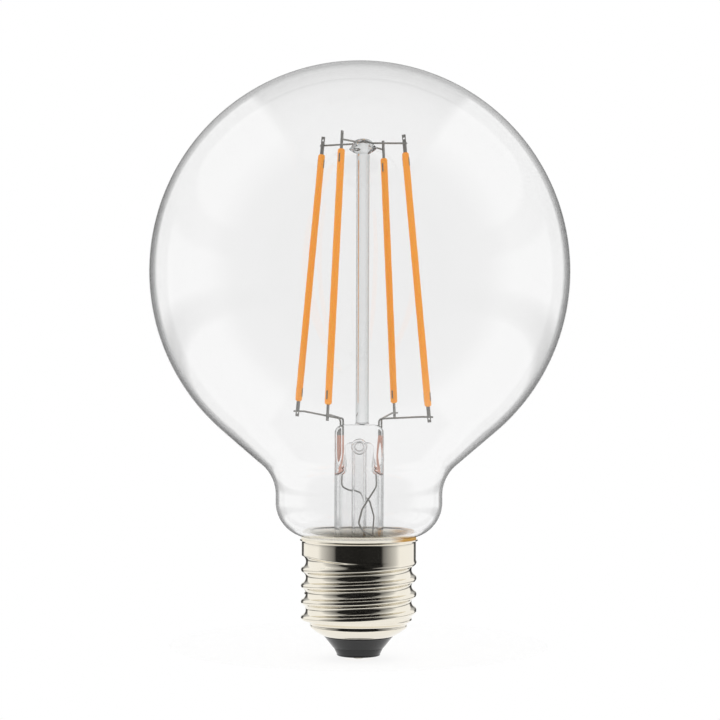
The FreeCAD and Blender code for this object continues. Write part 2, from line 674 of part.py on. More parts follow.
def make_stem(wires):
    blank = turned("stem_blank", [
        ("0", "press_top_level"), ("flare_radius", "press_top_level"),
        ("flare_radius", "flare_curve_level"),
        ("flare_centre_radius", "seal_level", "flare_centre_radius", "flare_curve_level"),
        ("neck_tube_radius", "seal_level"), ("neck_tube_radius", "seal_level - flare_wall"),
        ("0", "seal_level - flare_wall")])
    side = slab("stem_side_view", both_sides(
        [("cutter_half", "0"), ("cutter_half", "pinch_low_level")] + pinch_side("flare_radius", "press_half")
        + [("press_half", "press_top_level")]), "2 * cutter_half", SIDE_VIEW)
    corner_level = "press_top_level - press_corner"
    front = slab("stem_front_view", both_sides([
        ("cutter_half", "0"), ("cutter_half", "pinch_high_level"), ("flare_radius", "pinch_high_level"),
        ("flare_radius", corner_level),
        ("flare_radius - press_corner", "press_top_level",
         "flare_radius - press_corner", corner_level)]), "2 * cutter_half")
    pressed = shared("stem_pressed", [blank, side, front])
    ring = doc.addObject("Part::Torus", "blow_lip")
    bind(ring, Radius1="blow_lip_radius", Radius2="blow_lip_bead")
    ring.Placement = Placement(Vector(), Rotation(Vector(1, 0, 0), 90))
    ring.setExpression("Placement.Base.y", bound("blow_lip_sink - press_half"))
    ring.setExpression("Placement.Base.z", bound("blow_hole_level"))
    collar = doc.addObject("Part::Cone", "rod_collar")
    bind(collar, Radius1="rod_radius + rod_collar_width", Radius2="rod_radius + rod_collar_edge",
         Height="rod_collar_rise")
    place(collar, "rod_offset", "0", "press_top_level")
    glass = joined("stem_glass", [pressed, ring, collar])

    hollow_turn = turned("hollow_turn", [
        ("0", "arch_top_level"), ("bore_radius", "arch_top_level"), ("bore_radius", "flare_curve_level"),
        ("flare_centre_radius", "seal_level - flare_wall", "flare_centre_radius",
         "flare_curve_level"),
        ("flare_centre_radius", "seal_level - 2 * flare_wall"), ("0", "seal_level - 2 * flare_wall")])
    hollow_side = slab("hollow_side_view", both_sides(
        [("cutter_half", "0"), ("cutter_half", "pinch_low_level")] + pinch_side("bore_radius", "hollow_half")
        + [("hollow_half", "press_top_level")]), "2 * cutter_half", SIDE_VIEW)
    arch_spring = "arch_top_level - arch_corner"
    hollow_front = slab("hollow_front_view", both_sides([
        ("cutter_half", "0"), ("cutter_half", "arch_foot_level - arch_slope"),
        ("bore_radius", "arch_foot_level - arch_slope"), ("arch_half_width", "arch_foot_level"),
        ("arch_half_width", arch_spring),
        ("arch_half_width - arch_corner", "arch_top_level",
         "arch_half_width - arch_corner", arch_spring)]), "2 * cutter_half")
    hollow = shared("stem_hollow", [hollow_turn, hollow_side, hollow_front])
    hole = blow_hole("stem_blow_hole", "2 * press_half")
    rod_seat = rod("rod_seat", "rod_radius", "2 * rod_embed", "rod_offset", "0",
                   "press_top_level - rod_embed")
    keep("stem_flare", cut("stem_flare", glass, [hollow, hole, rod_seat] + wires))


def blow_hole(name, length):
    """A hole towards the front at the blow hole's level."""
    hole = doc.addObject("Part::Cylinder", name)
    bind(hole, Radius="blow_hole_radius", Height=length)
    hole.Placement = Placement(Vector(), Rotation(Vector(1, 0, 0), 90))
    hole.setExpression("Placement.Base.z", bound("blow_hole_level"))
    return hole


def make_exhaust_tube():
    tip_centre = "exhaust_tip_level + exhaust_radius"
    bore_centre = "(exhaust_tip_level + exhaust_tip_glass + exhaust_bore)"
    tube = turned("exhaust_blank", [
        ("0", "exhaust_tip_level"), ("exhaust_radius", tip_centre, "0", tip_centre),
        ("exhaust_radius", "arch_top_level"), ("exhaust_bore", "arch_top_level"),
        ("exhaust_bore", bore_centre), ("0", "exhaust_tip_level + exhaust_tip_glass", "0", bore_centre)])
    hole = blow_hole("exhaust_blow_hole", "2 * exhaust_radius")
    keep("exhaust_tube", cut("exhaust_tube", tube, [hole]))


def make_rod(top_wires):
    """The glass rod and its button, with the four lobes that hold the wires."""
    low = "(button_low_level + button_high_level - button_body) / 2"
    crown, shoulder = "button_high_level - button_rounding", "button_crown_radius - button_rounding"
    turned_rod = turned("rod_blank", [
        ("0", "press_top_level - rod_embed"), ("rod_radius", "press_top_level - rod_embed"),
        ("rod_radius", "button_low_level"),
        ("button_radius", low), ("button_radius", f"{low} + button_body"),
        ("button_crown_radius", crown), (shoulder, "button_high_level", shoulder, crown),
        ("0", "button_high_level")])
    place(turned_rod, "rod_offset")
    lobes = []
    for index in range(4):
        lobe = doc.addObject("Part::Sphere", f"lobe_{index + 1}")
        bind(lobe, Radius="lobe_radius")
        azimuth = azimuth_of(index)
        arm = "(lobe_reach - lobe_radius)"
        place(lobe, f"rod_offset + {arm} * cos{azimuth}", f"{arm} * sin{azimuth}", "lobe_level")
        lobes.append(lobe)
    glass = joined("rod_glass", [turned_rod] + lobes)
    keep("centre_rod", cut("centre_rod", glass, top_wires))


# Cap shell

def bowl_at(level, depth="0"):
    return f"(bowl_centre_radius + sqrt((bowl_curve - {depth})^2 - (bowl_level - ({level}))^2))"


def bowl_under(radius, depth="0"):
    return f"(bowl_level - sqrt((bowl_curve - {depth})^2 - ({radius} - bowl_centre_radius)^2))"


def rim_corner(depth):
    reach = f"(rim_curve + {depth})"
    return (f"rim_centre_radius - {reach} * cos(rim_angle)",
            f"collar_top_level + {reach} * sin(rim_angle)", "rim_centre_radius",
            "collar_top_level")


def make_shell():
    """The rolled shell, with its threaded band drawn plain at the thread's mean radius."""
    collar, plain, hole = "collar_radius", "thread_mean_radius", "shell_hole_radius"
    low, high = "thread_low_level", "thread_high_level"
    keep("cap_shell", turned("cap_shell", [
        (hole, bowl_under(hole)),
        (bowl_at(low), low, "bowl_centre_radius", "bowl_level"),
        (plain, f"{low} + bowl_blend"), (plain, f"{high} - groove_fade"), (collar, high),
        (collar, "collar_top_level"), rim_corner("0"), rim_corner("sheet")[:2],
        (f"{collar} - sheet", "collar_top_level", "rim_centre_radius", "collar_top_level"),
        (f"{collar} - sheet", high), (f"{plain} - sheet", f"{high} - groove_fade"),
        (f"{plain} - sheet", f"{low} + bowl_blend"), (bowl_at(low, "sheet"), low),
        (hole, bowl_under(hole, "sheet"), "bowl_centre_radius", "bowl_level")]))


def make_insulator():
    """Black glass, moulded in the shell's bowl round the contact."""
    hole, top = "shell_hole_radius", "insulator_top_level"
    dome = "(contact_low_level + contact_dome)"
    seat = "(contact_dome - contact_sheet)"
    step_in = "insulator_step_radius - insulator_step"
    keep("cap_insulator", turned("cap_insulator", [
        ("insulator_hole_radius", top), (bowl_at(top, "sheet"), top),
        (hole, bowl_under(hole, "sheet"), "bowl_centre_radius", "bowl_level"),
        (hole, bowl_under(hole)),
        ("insulator_step_radius", "insulator_step_level"), (step_in, "insulator_step_level"),
        ("insulator_foot_radius", "insulator_foot_level"),
        ("insulator_foot_radius - insulator_foot_round", "insulator_land_level"),
        ("contact_radius", "insulator_land_level"),
        ("contact_radius", f"{dome} - sqrt({seat}^2 - contact_radius^2)"),
        ("insulator_hole_radius", f"{dome} - sqrt({seat}^2 - insulator_hole_radius^2)",
         "0", dome)]))


def make_contact():
    dome = "(contact_low_level + contact_dome)"
    under, over = "contact_dome", "(contact_dome - contact_sheet)"

    def at(radius, reach):
        return f"{dome} - sqrt({reach}^2 - ({radius})^2)"

    hole, wire = "contact_hole_radius", "fuse_wire_radius"
    keep("centre_contact", turned("centre_contact", [
        (hole, at(hole, over), "0", dome), (hole, at(hole, under)),
        ("contact_radius", at("contact_radius", under), "0", dome),
        ("contact_radius", at("contact_radius", over))]))
    # The drop of solder rounds off at the origin and fills the eyelet round the wire
    edge = f"({at('solder_radius', under)})"
    drop = f"((solder_radius^2 + {edge}^2) / (2 * {edge}))"
    solder = turned("solder_blank", [
        ("0", "0"), ("solder_radius", edge, "0", drop),
        (hole, at(hole, under), "0", dome), (hole, at(hole, over)),
        (hole, f"{at(hole, over)} + solder_rise"), ("0", f"{at(hole, over)} + solder_rise")])
    wire_end = rod("solder_wire_seat", wire, "insulator_top_level", "0", "0",
                   "fuse_wire_foot_level")
    keep("contact_solder", cut("contact_solder", solder, [wire_end]))


def make_cement():
    """Cement between the neck tube and the collar, up to the gap between rim and glass."""
    inner, low = "collar_radius - sheet", "thread_high_level + cement_rise"
    edge_level = "collar_top_level + sqrt(rim_reach^2 - rim_curve^2)"
    glass_level = "waist_level - sqrt(mouth_curve^2 - (collar_radius - mouth_centre_radius)^2)"
    touch = "(mouth_curve / fillet_reach)"
    keep("cap_cement", turned("cap_cement", [
        ("neck_tube_radius", low), (inner, low), (inner, "collar_top_level"),
        ("collar_radius", edge_level, "rim_centre_radius", "collar_top_level"),
        ("collar_radius", glass_level),
        (f"mouth_centre_radius + {touch} * fillet_run",
         f"waist_level - {touch} * (waist_level - fillet_level)", "mouth_centre_radius",
         "waist_level"),
        ("neck_tube_radius", "fillet_level", "fillet_centre_radius", "fillet_level")]))


# Driver

def block(name, length, width, height, along_x, along_y, level):
    """A block centred on a place, standing on a level."""
    piece = doc.addObject("Part::Box", name)
    bind(piece, Length=length, Width=width, Height=height)
    place(piece, f"{along_x} - ({length}) / 2", f"{along_y} - ({width}) / 2", level)
    return piece


def make_board():
    """The round board. Solder fills its holes, so each is as wide as the wire in it."""
    disc = rod("board_disc", "board_radius", "board_thickness", "0", "0", "board_level")
    holes = [("fuse", "fuse_wire_radius", "0", "0"),
             ("shell", "shell_wire_radius", "board_hole_inset - board_radius", "0")]
    for side, (share_x, share_y) in LEAD_FEET.items():
        holes.append((f"{side}_lead", "outer_lead_radius", f"{share_x} * bore_radius",
                      f"{share_y} * bore_radius"))
    drills = [rod(f"board_hole_{name}", radius, "2 * board_thickness", along_x, along_y,
                  "board_level - board_thickness / 2") for name, radius, along_x, along_y in holes]
    keep("driver_board", cut("driver_board", disc, drills))


def make_driver_parts():
    keep("bridge_rectifier", block(
        "bridge_rectifier", "bridge_length", "bridge_width", "bridge_thickness", "-bridge_left",
        "-bridge_front", "board_top_level"))
    keep("driver_ic", block(
        "driver_ic", "chip_length", "chip_width", "chip_thickness", "-chip_left", "0",
        "board_level - chip_thickness"))
    row = [block(f"resistor_{i + 1}", "resistor_width", "resistor_length", "resistor_thickness",
                 f"resistor_right + {i} * resistor_pitch", "resistor_behind",
                 "board_level - resistor_thickness") for i in range(3)]
    group = doc.addObject("Part::Compound", "chip_resistors")
    group.Links = row
    keep("chip_resistors", group)
    fold = "capacitor_sleeve_fold"
    can = turned("smoothing_capacitor", [
        ("0", "0"), (f"capacitor_radius - {fold}", "0"), ("capacitor_radius", fold),
        ("capacitor_radius", f"capacitor_length - {fold}"),
        (f"capacitor_radius - {fold}", "capacitor_length"), ("0", "capacitor_length")])
    place(can, "-capacitor_length / 2", "board_radius - capacitor_inset",
          "board_top_level + capacitor_radius", "0", "90")
    keep("smoothing_capacitor", can)


def make_fuse():
    """The fuse resistor: its body under the board, one wire up through it, one to the contact."""
    low = "(board_level - fuse_gap - fuse_length)"
    body = rod("fuse_body", "fuse_radius", "fuse_length", "0", "0", low)
    wire = rod("fuse_wire", "fuse_wire_radius", "board_top_level + wire_stub - fuse_wire_foot_level",
               "0", "0", "fuse_wire_foot_level")
    keep("fuse_resistor", joined("fuse_resistor", [body, wire]))


def make_shell_wire():
    """From the board up and out to the inside of the shell on the -X side."""
    inboard = number("board_radius - board_hole_inset")
    level = number("board_top_level + shell_wire_rise")
    points = [Vector(-inboard, 0, number("board_level - wire_stub")), Vector(-inboard, 0, level),
              Vector(-number("thread_mean_radius - sheet"), 0, level)]
    radius = number("shell_wire_radius")
    keep("shell_wire", bent_wire("shell_wire", points, radius, 2 * radius))


# Assembly

for index, side in enumerate(FILAMENTS):
    make_filament(index, side)
top_wires, leads, seals, outer_leads = make_wires()
make_envelope()
make_stem(leads + seals)
make_exhaust_tube()
make_rod(top_wires)
make_shell()
make_insulator()
make_contact()
make_cement()
make_board()
make_driver_parts()
make_fuse()
make_shell_wire()
doc.recompute()

# Every object must have built, and every piece must be a sound solid, before anything is written

failed = [o.Name for o in doc.Objects if "Invalid" in o.State or "Error" in o.State]
if failed:
    raise RuntimeError(f"objects that did not build: {failed}")
for name, piece in nodes.items():
    shape = piece.Shape
    if shape.isNull() or not shape.isValid() or not shape.Solids:
        raise RuntimeError(f"{name} is not a sound solid")

os.makedirs("parts", exist_ok=True)
for name, piece in nodes.items():
    piece.Shape.exportStep(f"parts/{name}.step")
    print(f"{name}: {len(piece.Shape.Solids)} solid, {piece.Shape.Volume:.2f} mm3")
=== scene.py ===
# %% [markdown]
# # A clear globe lamp with four LED filaments
# The solids of this lamp come from a CAD source, in the right sizes and places. They are plain in two ways:
# round walls are made of flat facets, and the screw cap has no thread yet. Here the pieces that the eye rests
# on are made again as fine surfaces from the same sizes, and every piece gets the finish of its real
# material. Sizes are in millimetres, as in the CAD source, and become Blender's metres in the mesh.

# %% Load the solids
import json

import bpy
import numpy as np
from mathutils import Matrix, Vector


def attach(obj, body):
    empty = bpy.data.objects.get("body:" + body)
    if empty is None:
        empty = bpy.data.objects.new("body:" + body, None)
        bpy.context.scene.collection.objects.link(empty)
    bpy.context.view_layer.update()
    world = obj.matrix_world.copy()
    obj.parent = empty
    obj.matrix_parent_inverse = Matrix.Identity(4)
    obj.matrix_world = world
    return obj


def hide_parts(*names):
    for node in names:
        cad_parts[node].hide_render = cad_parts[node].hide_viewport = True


MM = 0.001

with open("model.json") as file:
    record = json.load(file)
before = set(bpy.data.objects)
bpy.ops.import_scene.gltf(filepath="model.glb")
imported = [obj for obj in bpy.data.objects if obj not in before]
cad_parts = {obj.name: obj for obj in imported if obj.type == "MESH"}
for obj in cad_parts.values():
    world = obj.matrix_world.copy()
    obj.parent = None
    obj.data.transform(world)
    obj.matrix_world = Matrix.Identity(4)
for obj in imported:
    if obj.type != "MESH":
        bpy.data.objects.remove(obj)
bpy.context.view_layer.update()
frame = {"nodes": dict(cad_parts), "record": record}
nodes = frame["nodes"]

# %% [markdown]
# ## Outlines
# Most of a lamp is turned: glass is blown and melted on a lathe, and a cap is spun and rolled. So each piece
# starts as an outline of (radius, level) points, made of straight runs and arcs. It could be drawn as a curve
# by hand, but worked out from sizes it is exact, and a wall gets its thickness from the same arcs. Each run
# leaves out its last point, because the next run starts there.

# %% Straight runs and arcs


def run(start, end, steps=1):
    """Points on a straight line: start + t (end - start), for t from 0 up to 1."""
    share = np.arange(steps)[:, None] / steps
    return np.array(start) + share * (np.array(end) - np.array(start))


def arc(centre, radius, first, last, steps):
    """Points on an arc: centre + radius (cos a, sin a), for a from the first to the last angle in degrees."""
    angle = np.radians(np.linspace(first, last, steps, endpoint=False))
    return np.array(centre) + radius * np.stack([np.cos(angle), np.sin(angle)], axis=1)


def eased(share):
    """A smooth step from 0 to 1: 3 t^2 - 2 t^3."""
    share = np.clip(share, 0, 1)
    return share * share * (3 - 2 * share)


print("a quarter turn in three points:", arc((0, 0), 1, 0, 90, 3).round(2).tolist())

# %% [markdown]
# ## From a grid of points to a mesh
# A turned piece is a grid: one ring of points for each point of its outline. Blender's Screw modifier turns
# outlines too, but a grid can also be pressed, swollen or threaded ring by ring, as some pieces here need. A
# closed surface has no loose edges, so a grid ends in one of two ways. Its rows may close on themselves, as
# on a ring or a shell with a hole, or the first and last row shrink to a single point on the axis, as on a
# rod's end.

# %% Rings and skins


def turned(outline, columns):
    """Rings of an outline turned about Z: (r cos a, r sin a, z), one row for each point of the outline."""
    angle = np.linspace(0, 2 * np.pi, columns, endpoint=False)
    radius, level = outline[:, :1], outline[:, 1:]
    return np.stack([radius * np.cos(angle), radius * np.sin(angle), level + 0 * angle], axis=-1)


def skin(rings, closed_rows=False):
    """Points, quads and triangles of a grid. Each quad joins (row, column) to the next row, then the next
    column, so a grid whose rows run down its outside faces outwards."""
    rows, columns = rings.shape[:2]
    inner = rings if closed_rows else rings[1:-1]
    count = len(inner)
    number = np.arange(count * columns).reshape(count, columns)
    upper = number if closed_rows else number[:-1]
    lower = np.roll(number, -1, axis=0) if closed_rows else number[1:]
    quads = np.stack([upper, lower, np.roll(lower, -1, axis=1), np.roll(upper, -1, axis=1)], axis=-1)
    points, fans = inner.reshape(-1, 3), np.zeros((0, 3), int)
    if not closed_rows:
        first, last = number[0], number[-1]
        pole = 0 * first + len(points)
        fans = np.concatenate([np.stack([pole, first, np.roll(first, -1)], axis=-1),
                               np.stack([last, pole + 1, np.roll(last, -1)], axis=-1)])
        points = np.concatenate([points, [rings[0].mean(axis=0), rings[-1].mean(axis=0)]])
    return points, quads.reshape(-1, 4), fans


print("a turned grid's rows, columns and coordinates:", turned(arc((0, 0), 1, 90, -90, 4), 6).shape)

# %% From skins to a piece
SHARP_ANGLE = 35


def make_piece(name, skins, finish, stands_for):
    """Puts one or more skins into one object that stands for solids. It is shaded smooth, except at edges
    that bend more than the sharp angle."""
    points, faces, count = [], [], 0
    for corners, quads, fans in skins:
        points.append(corners)
        faces += (quads + count).tolist() + (fans + count).tolist()
        count += len(corners)
    mesh = bpy.data.meshes.new(name)
    mesh.from_pydata((np.concatenate(points) * MM).tolist(), [], faces)
    mesh.shade_smooth()
    mesh.set_sharp_from_angle(angle=np.radians(SHARP_ANGLE))
    mesh.materials.append(finish)
    piece = bpy.data.objects.new(name, mesh)
    bpy.context.scene.collection.objects.link(piece)
    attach(piece, "root")
    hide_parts(*stands_for)
    print(f"{name}: {len(faces)} faces")


print("edges that bend more than", SHARP_ANGLE, "degrees stay sharp")

# %% [markdown]
# ## Finishes
# Colours are written as the sRGB values that the eye knows from a screen, and Blender works in linear light,
# so one function turns them over. Another adds a node with its settings and links.

# %% Colours and nodes


def linear(colour):
    """An sRGB hex colour as linear red, green, blue and alpha: ((v + 0.055) / 1.055)^2.4, or v / 12.92 for
    a v of at most 0.04045."""
    value = np.array([int(colour[i:i + 2], 16) for i in (1, 3, 5)]) / 255
    value = np.where(value <= 0.04045, value / 12.92, ((value + 0.055) / 1.055) ** 2.4)
    return (*value.tolist(), 1.0)


def add(tree, kind, values=None, links=None, **settings):
    """Adds a node, sets its properties and its sockets' values, and links sockets to other nodes' outputs."""
    node = tree.nodes.new(kind)
    for name, value in settings.items():
        setattr(node, name, value)
    for socket, value in (values or {}).items():
        node.inputs[socket].default_value = value
    for socket, output in (links or {}).items():
        tree.links.new(output, node.inputs[socket])
    return node


def make_finish(name, colour, **values):
    """A Principled material. Value names are the shader's socket names with _ for a space."""
    material = bpy.data.materials.new(name)
    material.use_nodes = True
    shader = material.node_tree.nodes["Principled BSDF"]
    shader.inputs["Base Color"].default_value = linear(colour)
    for socket, value in values.items():
        shader.inputs[socket.replace("_", " ")].default_value = value
    return material


print("mid grey in linear light:", round(linear("#808080")[0], 3))

# %% [markdown]
# ## Glass
# The envelope is blown soda-lime glass. It has no colour of its own in so thin a wall, and its surface comes
# out of the flame perfectly smooth, so all that shows is refraction and reflection. The stem is lead-free
# tube glass of nearly the same index. Where Layer Weight's Facing says its surface is seen edge-on, its
# colour turns grey. That is painted shade for the dark edges that refraction draws, with a little of the
# faint grey that glass shows along its surface. An absorbing volume could give that too, but a colour that
# follows Layer
# Weight's Facing has less noise.

# %% Glass
# Blown glass is clear, and takes hardly any light in so thin a wall
blown_glass = make_finish("blown_soda_lime_glass", "#FBFBFB", Roughness=0.0, IOR=1.51,
                          Transmission_Weight=1.0)
# Drawn tube is as clear in its middle, and has painted shade that greys it towards its edges
tube_glass = make_finish("drawn_tube_glass", "#FDFDFD", Roughness=0.0, IOR=1.53,
                         Transmission_Weight=1.0)
# A solid rod is thick all over, so it is greyer than a tube; painted shade greys it more at its edges
rod_glass = make_finish("drawn_rod_glass", "#F1F2F2", Roughness=0.0, IOR=1.53, Transmission_Weight=1.0)

# Greys that follow Layer Weight's Facing: painted shade where the glass is seen edge-on
for glass, painted_edge_shades in ((tube_glass, [(0.25, "#FDFDFD"), (0.85, "#A3A7A6")]),
                     (rod_glass, [(0.0, "#F1F2F2"), (0.9, "#868C8B")])):
    tree = glass.node_tree
    facing = add(tree, "ShaderNodeLayerWeight", values={"Blend": 0.5}).outputs["Facing"]
    edge = add(tree, "ShaderNodeValToRGB", links={"Fac": facing})
    for element, (place, painted_edge_grey) in zip(edge.color_ramp.elements, painted_edge_shades):
        element.position, element.color = place, linear(painted_edge_grey)
    tree.links.new(edge.outputs["Color"], tree.nodes["Principled BSDF"].inputs["Base Color"])
    print(glass.name, "goes from", painted_edge_shades[0][1], "to", painted_edge_shades[1][1])

# %% [markdown]
# ## Metals
# All the metal but the solder is drawn or rolled, and its look is in how sharply it mirrors the room. A
# brushed or scratched pattern would be finer than the picture can show on pieces of this size, so each metal
# is one colour and one roughness.

# %% Metals
# Drawn nickel wire is a dull silver grey
nickel_wire = make_finish("drawn_nickel_wire", "#95938E", Metallic=1.0, Roughness=0.32)
# Stamped strip is rolled, so it is duller and a little darker than the wire
tab_steel = make_finish("stamped_nickel_steel", "#8C8A86", Metallic=1.0, Roughness=0.38)
# Copper-clad wire goes through glass, because it expands as glass does. Its oxide is a pinkish copper colour
copper_clad = make_finish("copper_clad_wire_in_glass", "#DDA48E", Metallic=0.3, Roughness=0.5)
# Bright nickel plate on brass sheet is a warm mirror
cap_nickel = make_finish("bright_nickel_plate", "#F1EBDD", Metallic=1.0, Roughness=0.09)
# Bare brass plate is yellow and satin
contact_brass = make_finish("stamped_brass", "#C8AE78", Metallic=1.0, Roughness=0.3)
# Solder that has set in air is pale and dull
tin_solder = make_finish("tin_solder", "#D6D5D1", Metallic=1.0, Roughness=0.5)
print("metals: wire, strip, copper-clad wire, nickel plate, brass and solder")

# %% [markdown]
# ## Silicone, cement and plastics
# A filament's coat is silicone rubber full of phosphor grains. It looks orange because the phosphor takes
# the blue out of the light. Light goes a little way in, so a small share of subsurface scattering makes its
# edges paler than its middle. The board and its parts are in the dark of the cap, and plain finishes do for
# them.

# %% Other finishes
# Silicone with phosphor is a warm orange with a satin sheen
phosphor_coat = make_finish("phosphor_silicone", "#FFA42D", Roughness=0.45,
                            Subsurface_Weight=0.25, Subsurface_Scale=0.0006)
# The strip is dull metal, of which only the ends look out of the coat
chip_strip = make_finish("chip_strip", "#A9A59A", Metallic=1.0, Roughness=0.4)
# Moulded black glass is deep black with a sharp gloss
black_glass = make_finish("black_moulded_glass", "#0B0B0C", Roughness=0.05, IOR=1.52)
# Solder resist is a satin green
circuit_board = make_finish("solder_resist", "#2E6B42", Roughness=0.5)
# Moulded epoxy is a matt black
moulded_epoxy = make_finish("moulded_epoxy", "#1C1C1E", Roughness=0.6)
# A shrunk sleeve is a dark blue with a soft gloss
capacitor_sleeve = make_finish("shrunk_sleeve", "#20222C", Roughness=0.35)
# Flameproof lacquer is a matt grey green
resistor_lacquer = make_finish("flameproof_lacquer", "#8FA596", Roughness=0.6)

# Cement is matt. It is baked from one side, so it turns from cream to brown over three millimetres there
CREAM, BROWN = "#F3EFE4", "#C99B4E"
CREAM_TO, BROWN_FROM = 7.0, 10.0
cap_cement = make_finish("baked_cap_cement", CREAM, Roughness=0.9)
tree = cap_cement.node_tree
place = add(tree, "ShaderNodeTexCoord").outputs["Object"]
across = add(tree, "ShaderNodeSeparateXYZ", links={"Vector": place})
baked = add(tree, "ShaderNodeMapRange", values={1: CREAM_TO * MM, 2: BROWN_FROM * MM},
            links={0: across.outputs["X"]})
tint = add(tree, "ShaderNodeValToRGB", links={"Fac": baked.outputs[0]})
tint.color_ramp.elements[0].color = linear(CREAM)
tint.color_ramp.elements[1].color = linear(BROWN)
tree.links.new(tint.outputs["Color"], tree.nodes["Principled BSDF"].inputs["Base Color"])
print("the cement turns brown from", CREAM_TO, "to", BROWN_FROM, "mm off the axis")

# %% [markdown]
# ## Solids that stay
# The wires, tabs and the parts inside the cap are round or flat and small, so the solids are fine as they
# are and only get a finish.

# %% Finishes for the solids
FINISH_OF_SLOT = {
    "clear_glass": blown_glass, "stem_glass": tube_glass, "phosphor_silicone": phosphor_coat,
    "tab_steel": tab_steel, "chip_strip": chip_strip, "nickel_wire": nickel_wire,
    "copper_clad_wire": copper_clad, "nickel_plated_sheet": cap_nickel, "black_glass": black_glass,
    "contact_plate": contact_brass, "solder": tin_solder, "cement": cap_cement,
    "circuit_board": circuit_board, "chip_package": moulded_epoxy,
    "capacitor_sleeve": capacitor_sleeve, "resistor_lacquer": resistor_lacquer,
}
for part in frame["record"]["subparts"]:
    mesh = nodes[part["node"]].data
    mesh.materials.clear()
    mesh.materials.append(FINISH_OF_SLOT[part["material_slot"]])
print("finishes:", len(FINISH_OF_SLOT))

# %% [markdown]
# ## Envelope
# The globe is blown in a mould from a tube. Its outline is a circle, a straight flank that touches it, a
# hollow curve into the waist, a full curve into the mouth, and the tube's end that goes down into the cap.
# The inner wall is the same outline moved inwards by the glass thickness, with the same centres for its
# arcs. So the wall is equally thick all over, which a scaled copy would not give, and glass needs both walls
# to bend light as it should.

# %% Envelope
GLOBE_RADIUS, GLOBE_LEVEL, GLASS_WALL = 47.5, 87.5, 0.8
FLANK_ANGLE = 49.5
WAIST_RADIUS, WAIST_CURVE, WAIST_LEVEL = 18.9, 8.8, 35.5
MOUTH_CURVE, NECK_RADIUS, MOUTH_FILLET, SEAL_LEVEL = 8.1, 11.2, 1.0, 19.5

flank = np.radians(FLANK_ANGLE)
waist_centre = np.array([WAIST_RADIUS + WAIST_CURVE, 0.0])
waist_centre[1] = GLOBE_LEVEL - (GLOBE_RADIUS + WAIST_CURVE
                                 - waist_centre[0] * np.cos(flank)) / np.sin(flank)
mouth_centre = np.array([WAIST_RADIUS - MOUTH_CURVE, WAIST_LEVEL])
fillet_run = NECK_RADIUS + MOUTH_FILLET - mouth_centre[0]
fillet_drop = np.sqrt((MOUTH_CURVE + MOUTH_FILLET) ** 2 - fillet_run ** 2)
fillet_centre = mouth_centre + (fillet_run, -fillet_drop)
mouth_turn = np.degrees(np.arctan2(fillet_drop, fillet_run))


def envelope_wall(depth):
    """The envelope's outline from crown to seal, at a depth into the glass. Each arc keeps its centre: a
    full curve loses the depth from its radius, and a hollow one gains it."""
    return np.concatenate([
        arc((0, GLOBE_LEVEL), GLOBE_RADIUS - depth, 90, -FLANK_ANGLE, 150),
        arc(waist_centre, WAIST_CURVE + depth, 180 - FLANK_ANGLE, 180, 24),
        run((WAIST_RADIUS - depth, waist_centre[1]), (WAIST_RADIUS - depth, WAIST_LEVEL)),
        arc(mouth_centre, MOUTH_CURVE - depth, 0, -mouth_turn, 32),
        arc(fillet_centre, MOUTH_FILLET + depth, 180 - mouth_turn, 180, 12),
        run((NECK_RADIUS - depth, fillet_centre[1]), (NECK_RADIUS - depth, SEAL_LEVEL), 3),
        [(NECK_RADIUS - depth, SEAL_LEVEL)]])


envelope_outline = np.concatenate([envelope_wall(0), envelope_wall(GLASS_WALL)[::-1]])
make_piece("envelope", [skin(turned(envelope_outline, 192))], blown_glass,
           ["glass_envelope"])

# %% [markdown]
# ## Stem
# The stem starts as a tube with a flared foot. Its top is heated and pinched between two jaws, with the
# wires and the rod in it, into the flat press. Here a ring of the tube is a circle that is pressed flat by
# degrees: its depth goes from the circle's own to that of a circle clipped by two planes. The hollow inside
# narrows to an arch under the press. A boolean of a tube and a block would leave hard edges, while melted
# glass has none. Outside and inside are one grid, from the top of the press down to the foot and back up to
# the top of the arch.

# %% Pinched tube
FLARE_RADIUS, FLARE_WALL, FOOT_CENTRE = 5.575, 1.0, (10.0, 23.925)
PINCH_LOW, PINCH_HIGH, PRESS_TOP, PRESS_DEPTH = 40.5, 47.5, 53.0, 2.605
PRESS_CORNER, PRESS_EDGE = 2.0, 0.7
ARCH_LOW, ARCH_SLOPE, ARCH_TOP, ARCH_WIDTH, HOLLOW_DEPTH = 42.3, 1.6, 49.4, 3.3, 1.755
ARCH_CORNER, ARCH_EDGE = 1.5, 0.4


def clipped(value, limit):
    """A value that runs up to a limit and stays there, with a rounded bend: v / (1 + |v / limit|^10)^0.1."""
    return value / (1 + np.abs(value / limit) ** 10) ** 0.1


def rounded_off(level, top, corner):
    """How far a rounded corner has come in at a level: c - sqrt(c^2 - (z - top + c)^2)."""
    return corner - np.sqrt(corner ** 2 - np.clip(level - top + corner, 0, corner) ** 2)


def stem_outside(outline, columns):
    """Rings of the tube: x = r cos a, y = (1 - k) r sin a + k clipped(r sin a), where k eases from 0 to 1 up
    the pinch. The press's upper edges are rounded."""
    angle = np.linspace(0, 2 * np.pi, columns, endpoint=False)
    radius, level = outline[:, :1], outline[:, 1:]
    flat = eased((level - PINCH_LOW) / (PINCH_HIGH - PINCH_LOW))
    across, along = radius * np.cos(angle), radius * np.sin(angle)
    along = (1 - flat) * along + flat * clipped(along, PRESS_DEPTH)
    width = 1 - rounded_off(level, PRESS_TOP, PRESS_CORNER) / FLARE_RADIUS
    depth = 1 - rounded_off(level, PRESS_TOP, PRESS_EDGE) / PRESS_DEPTH
    return np.stack([across * width, along * depth, level + 0 * angle], axis=-1)


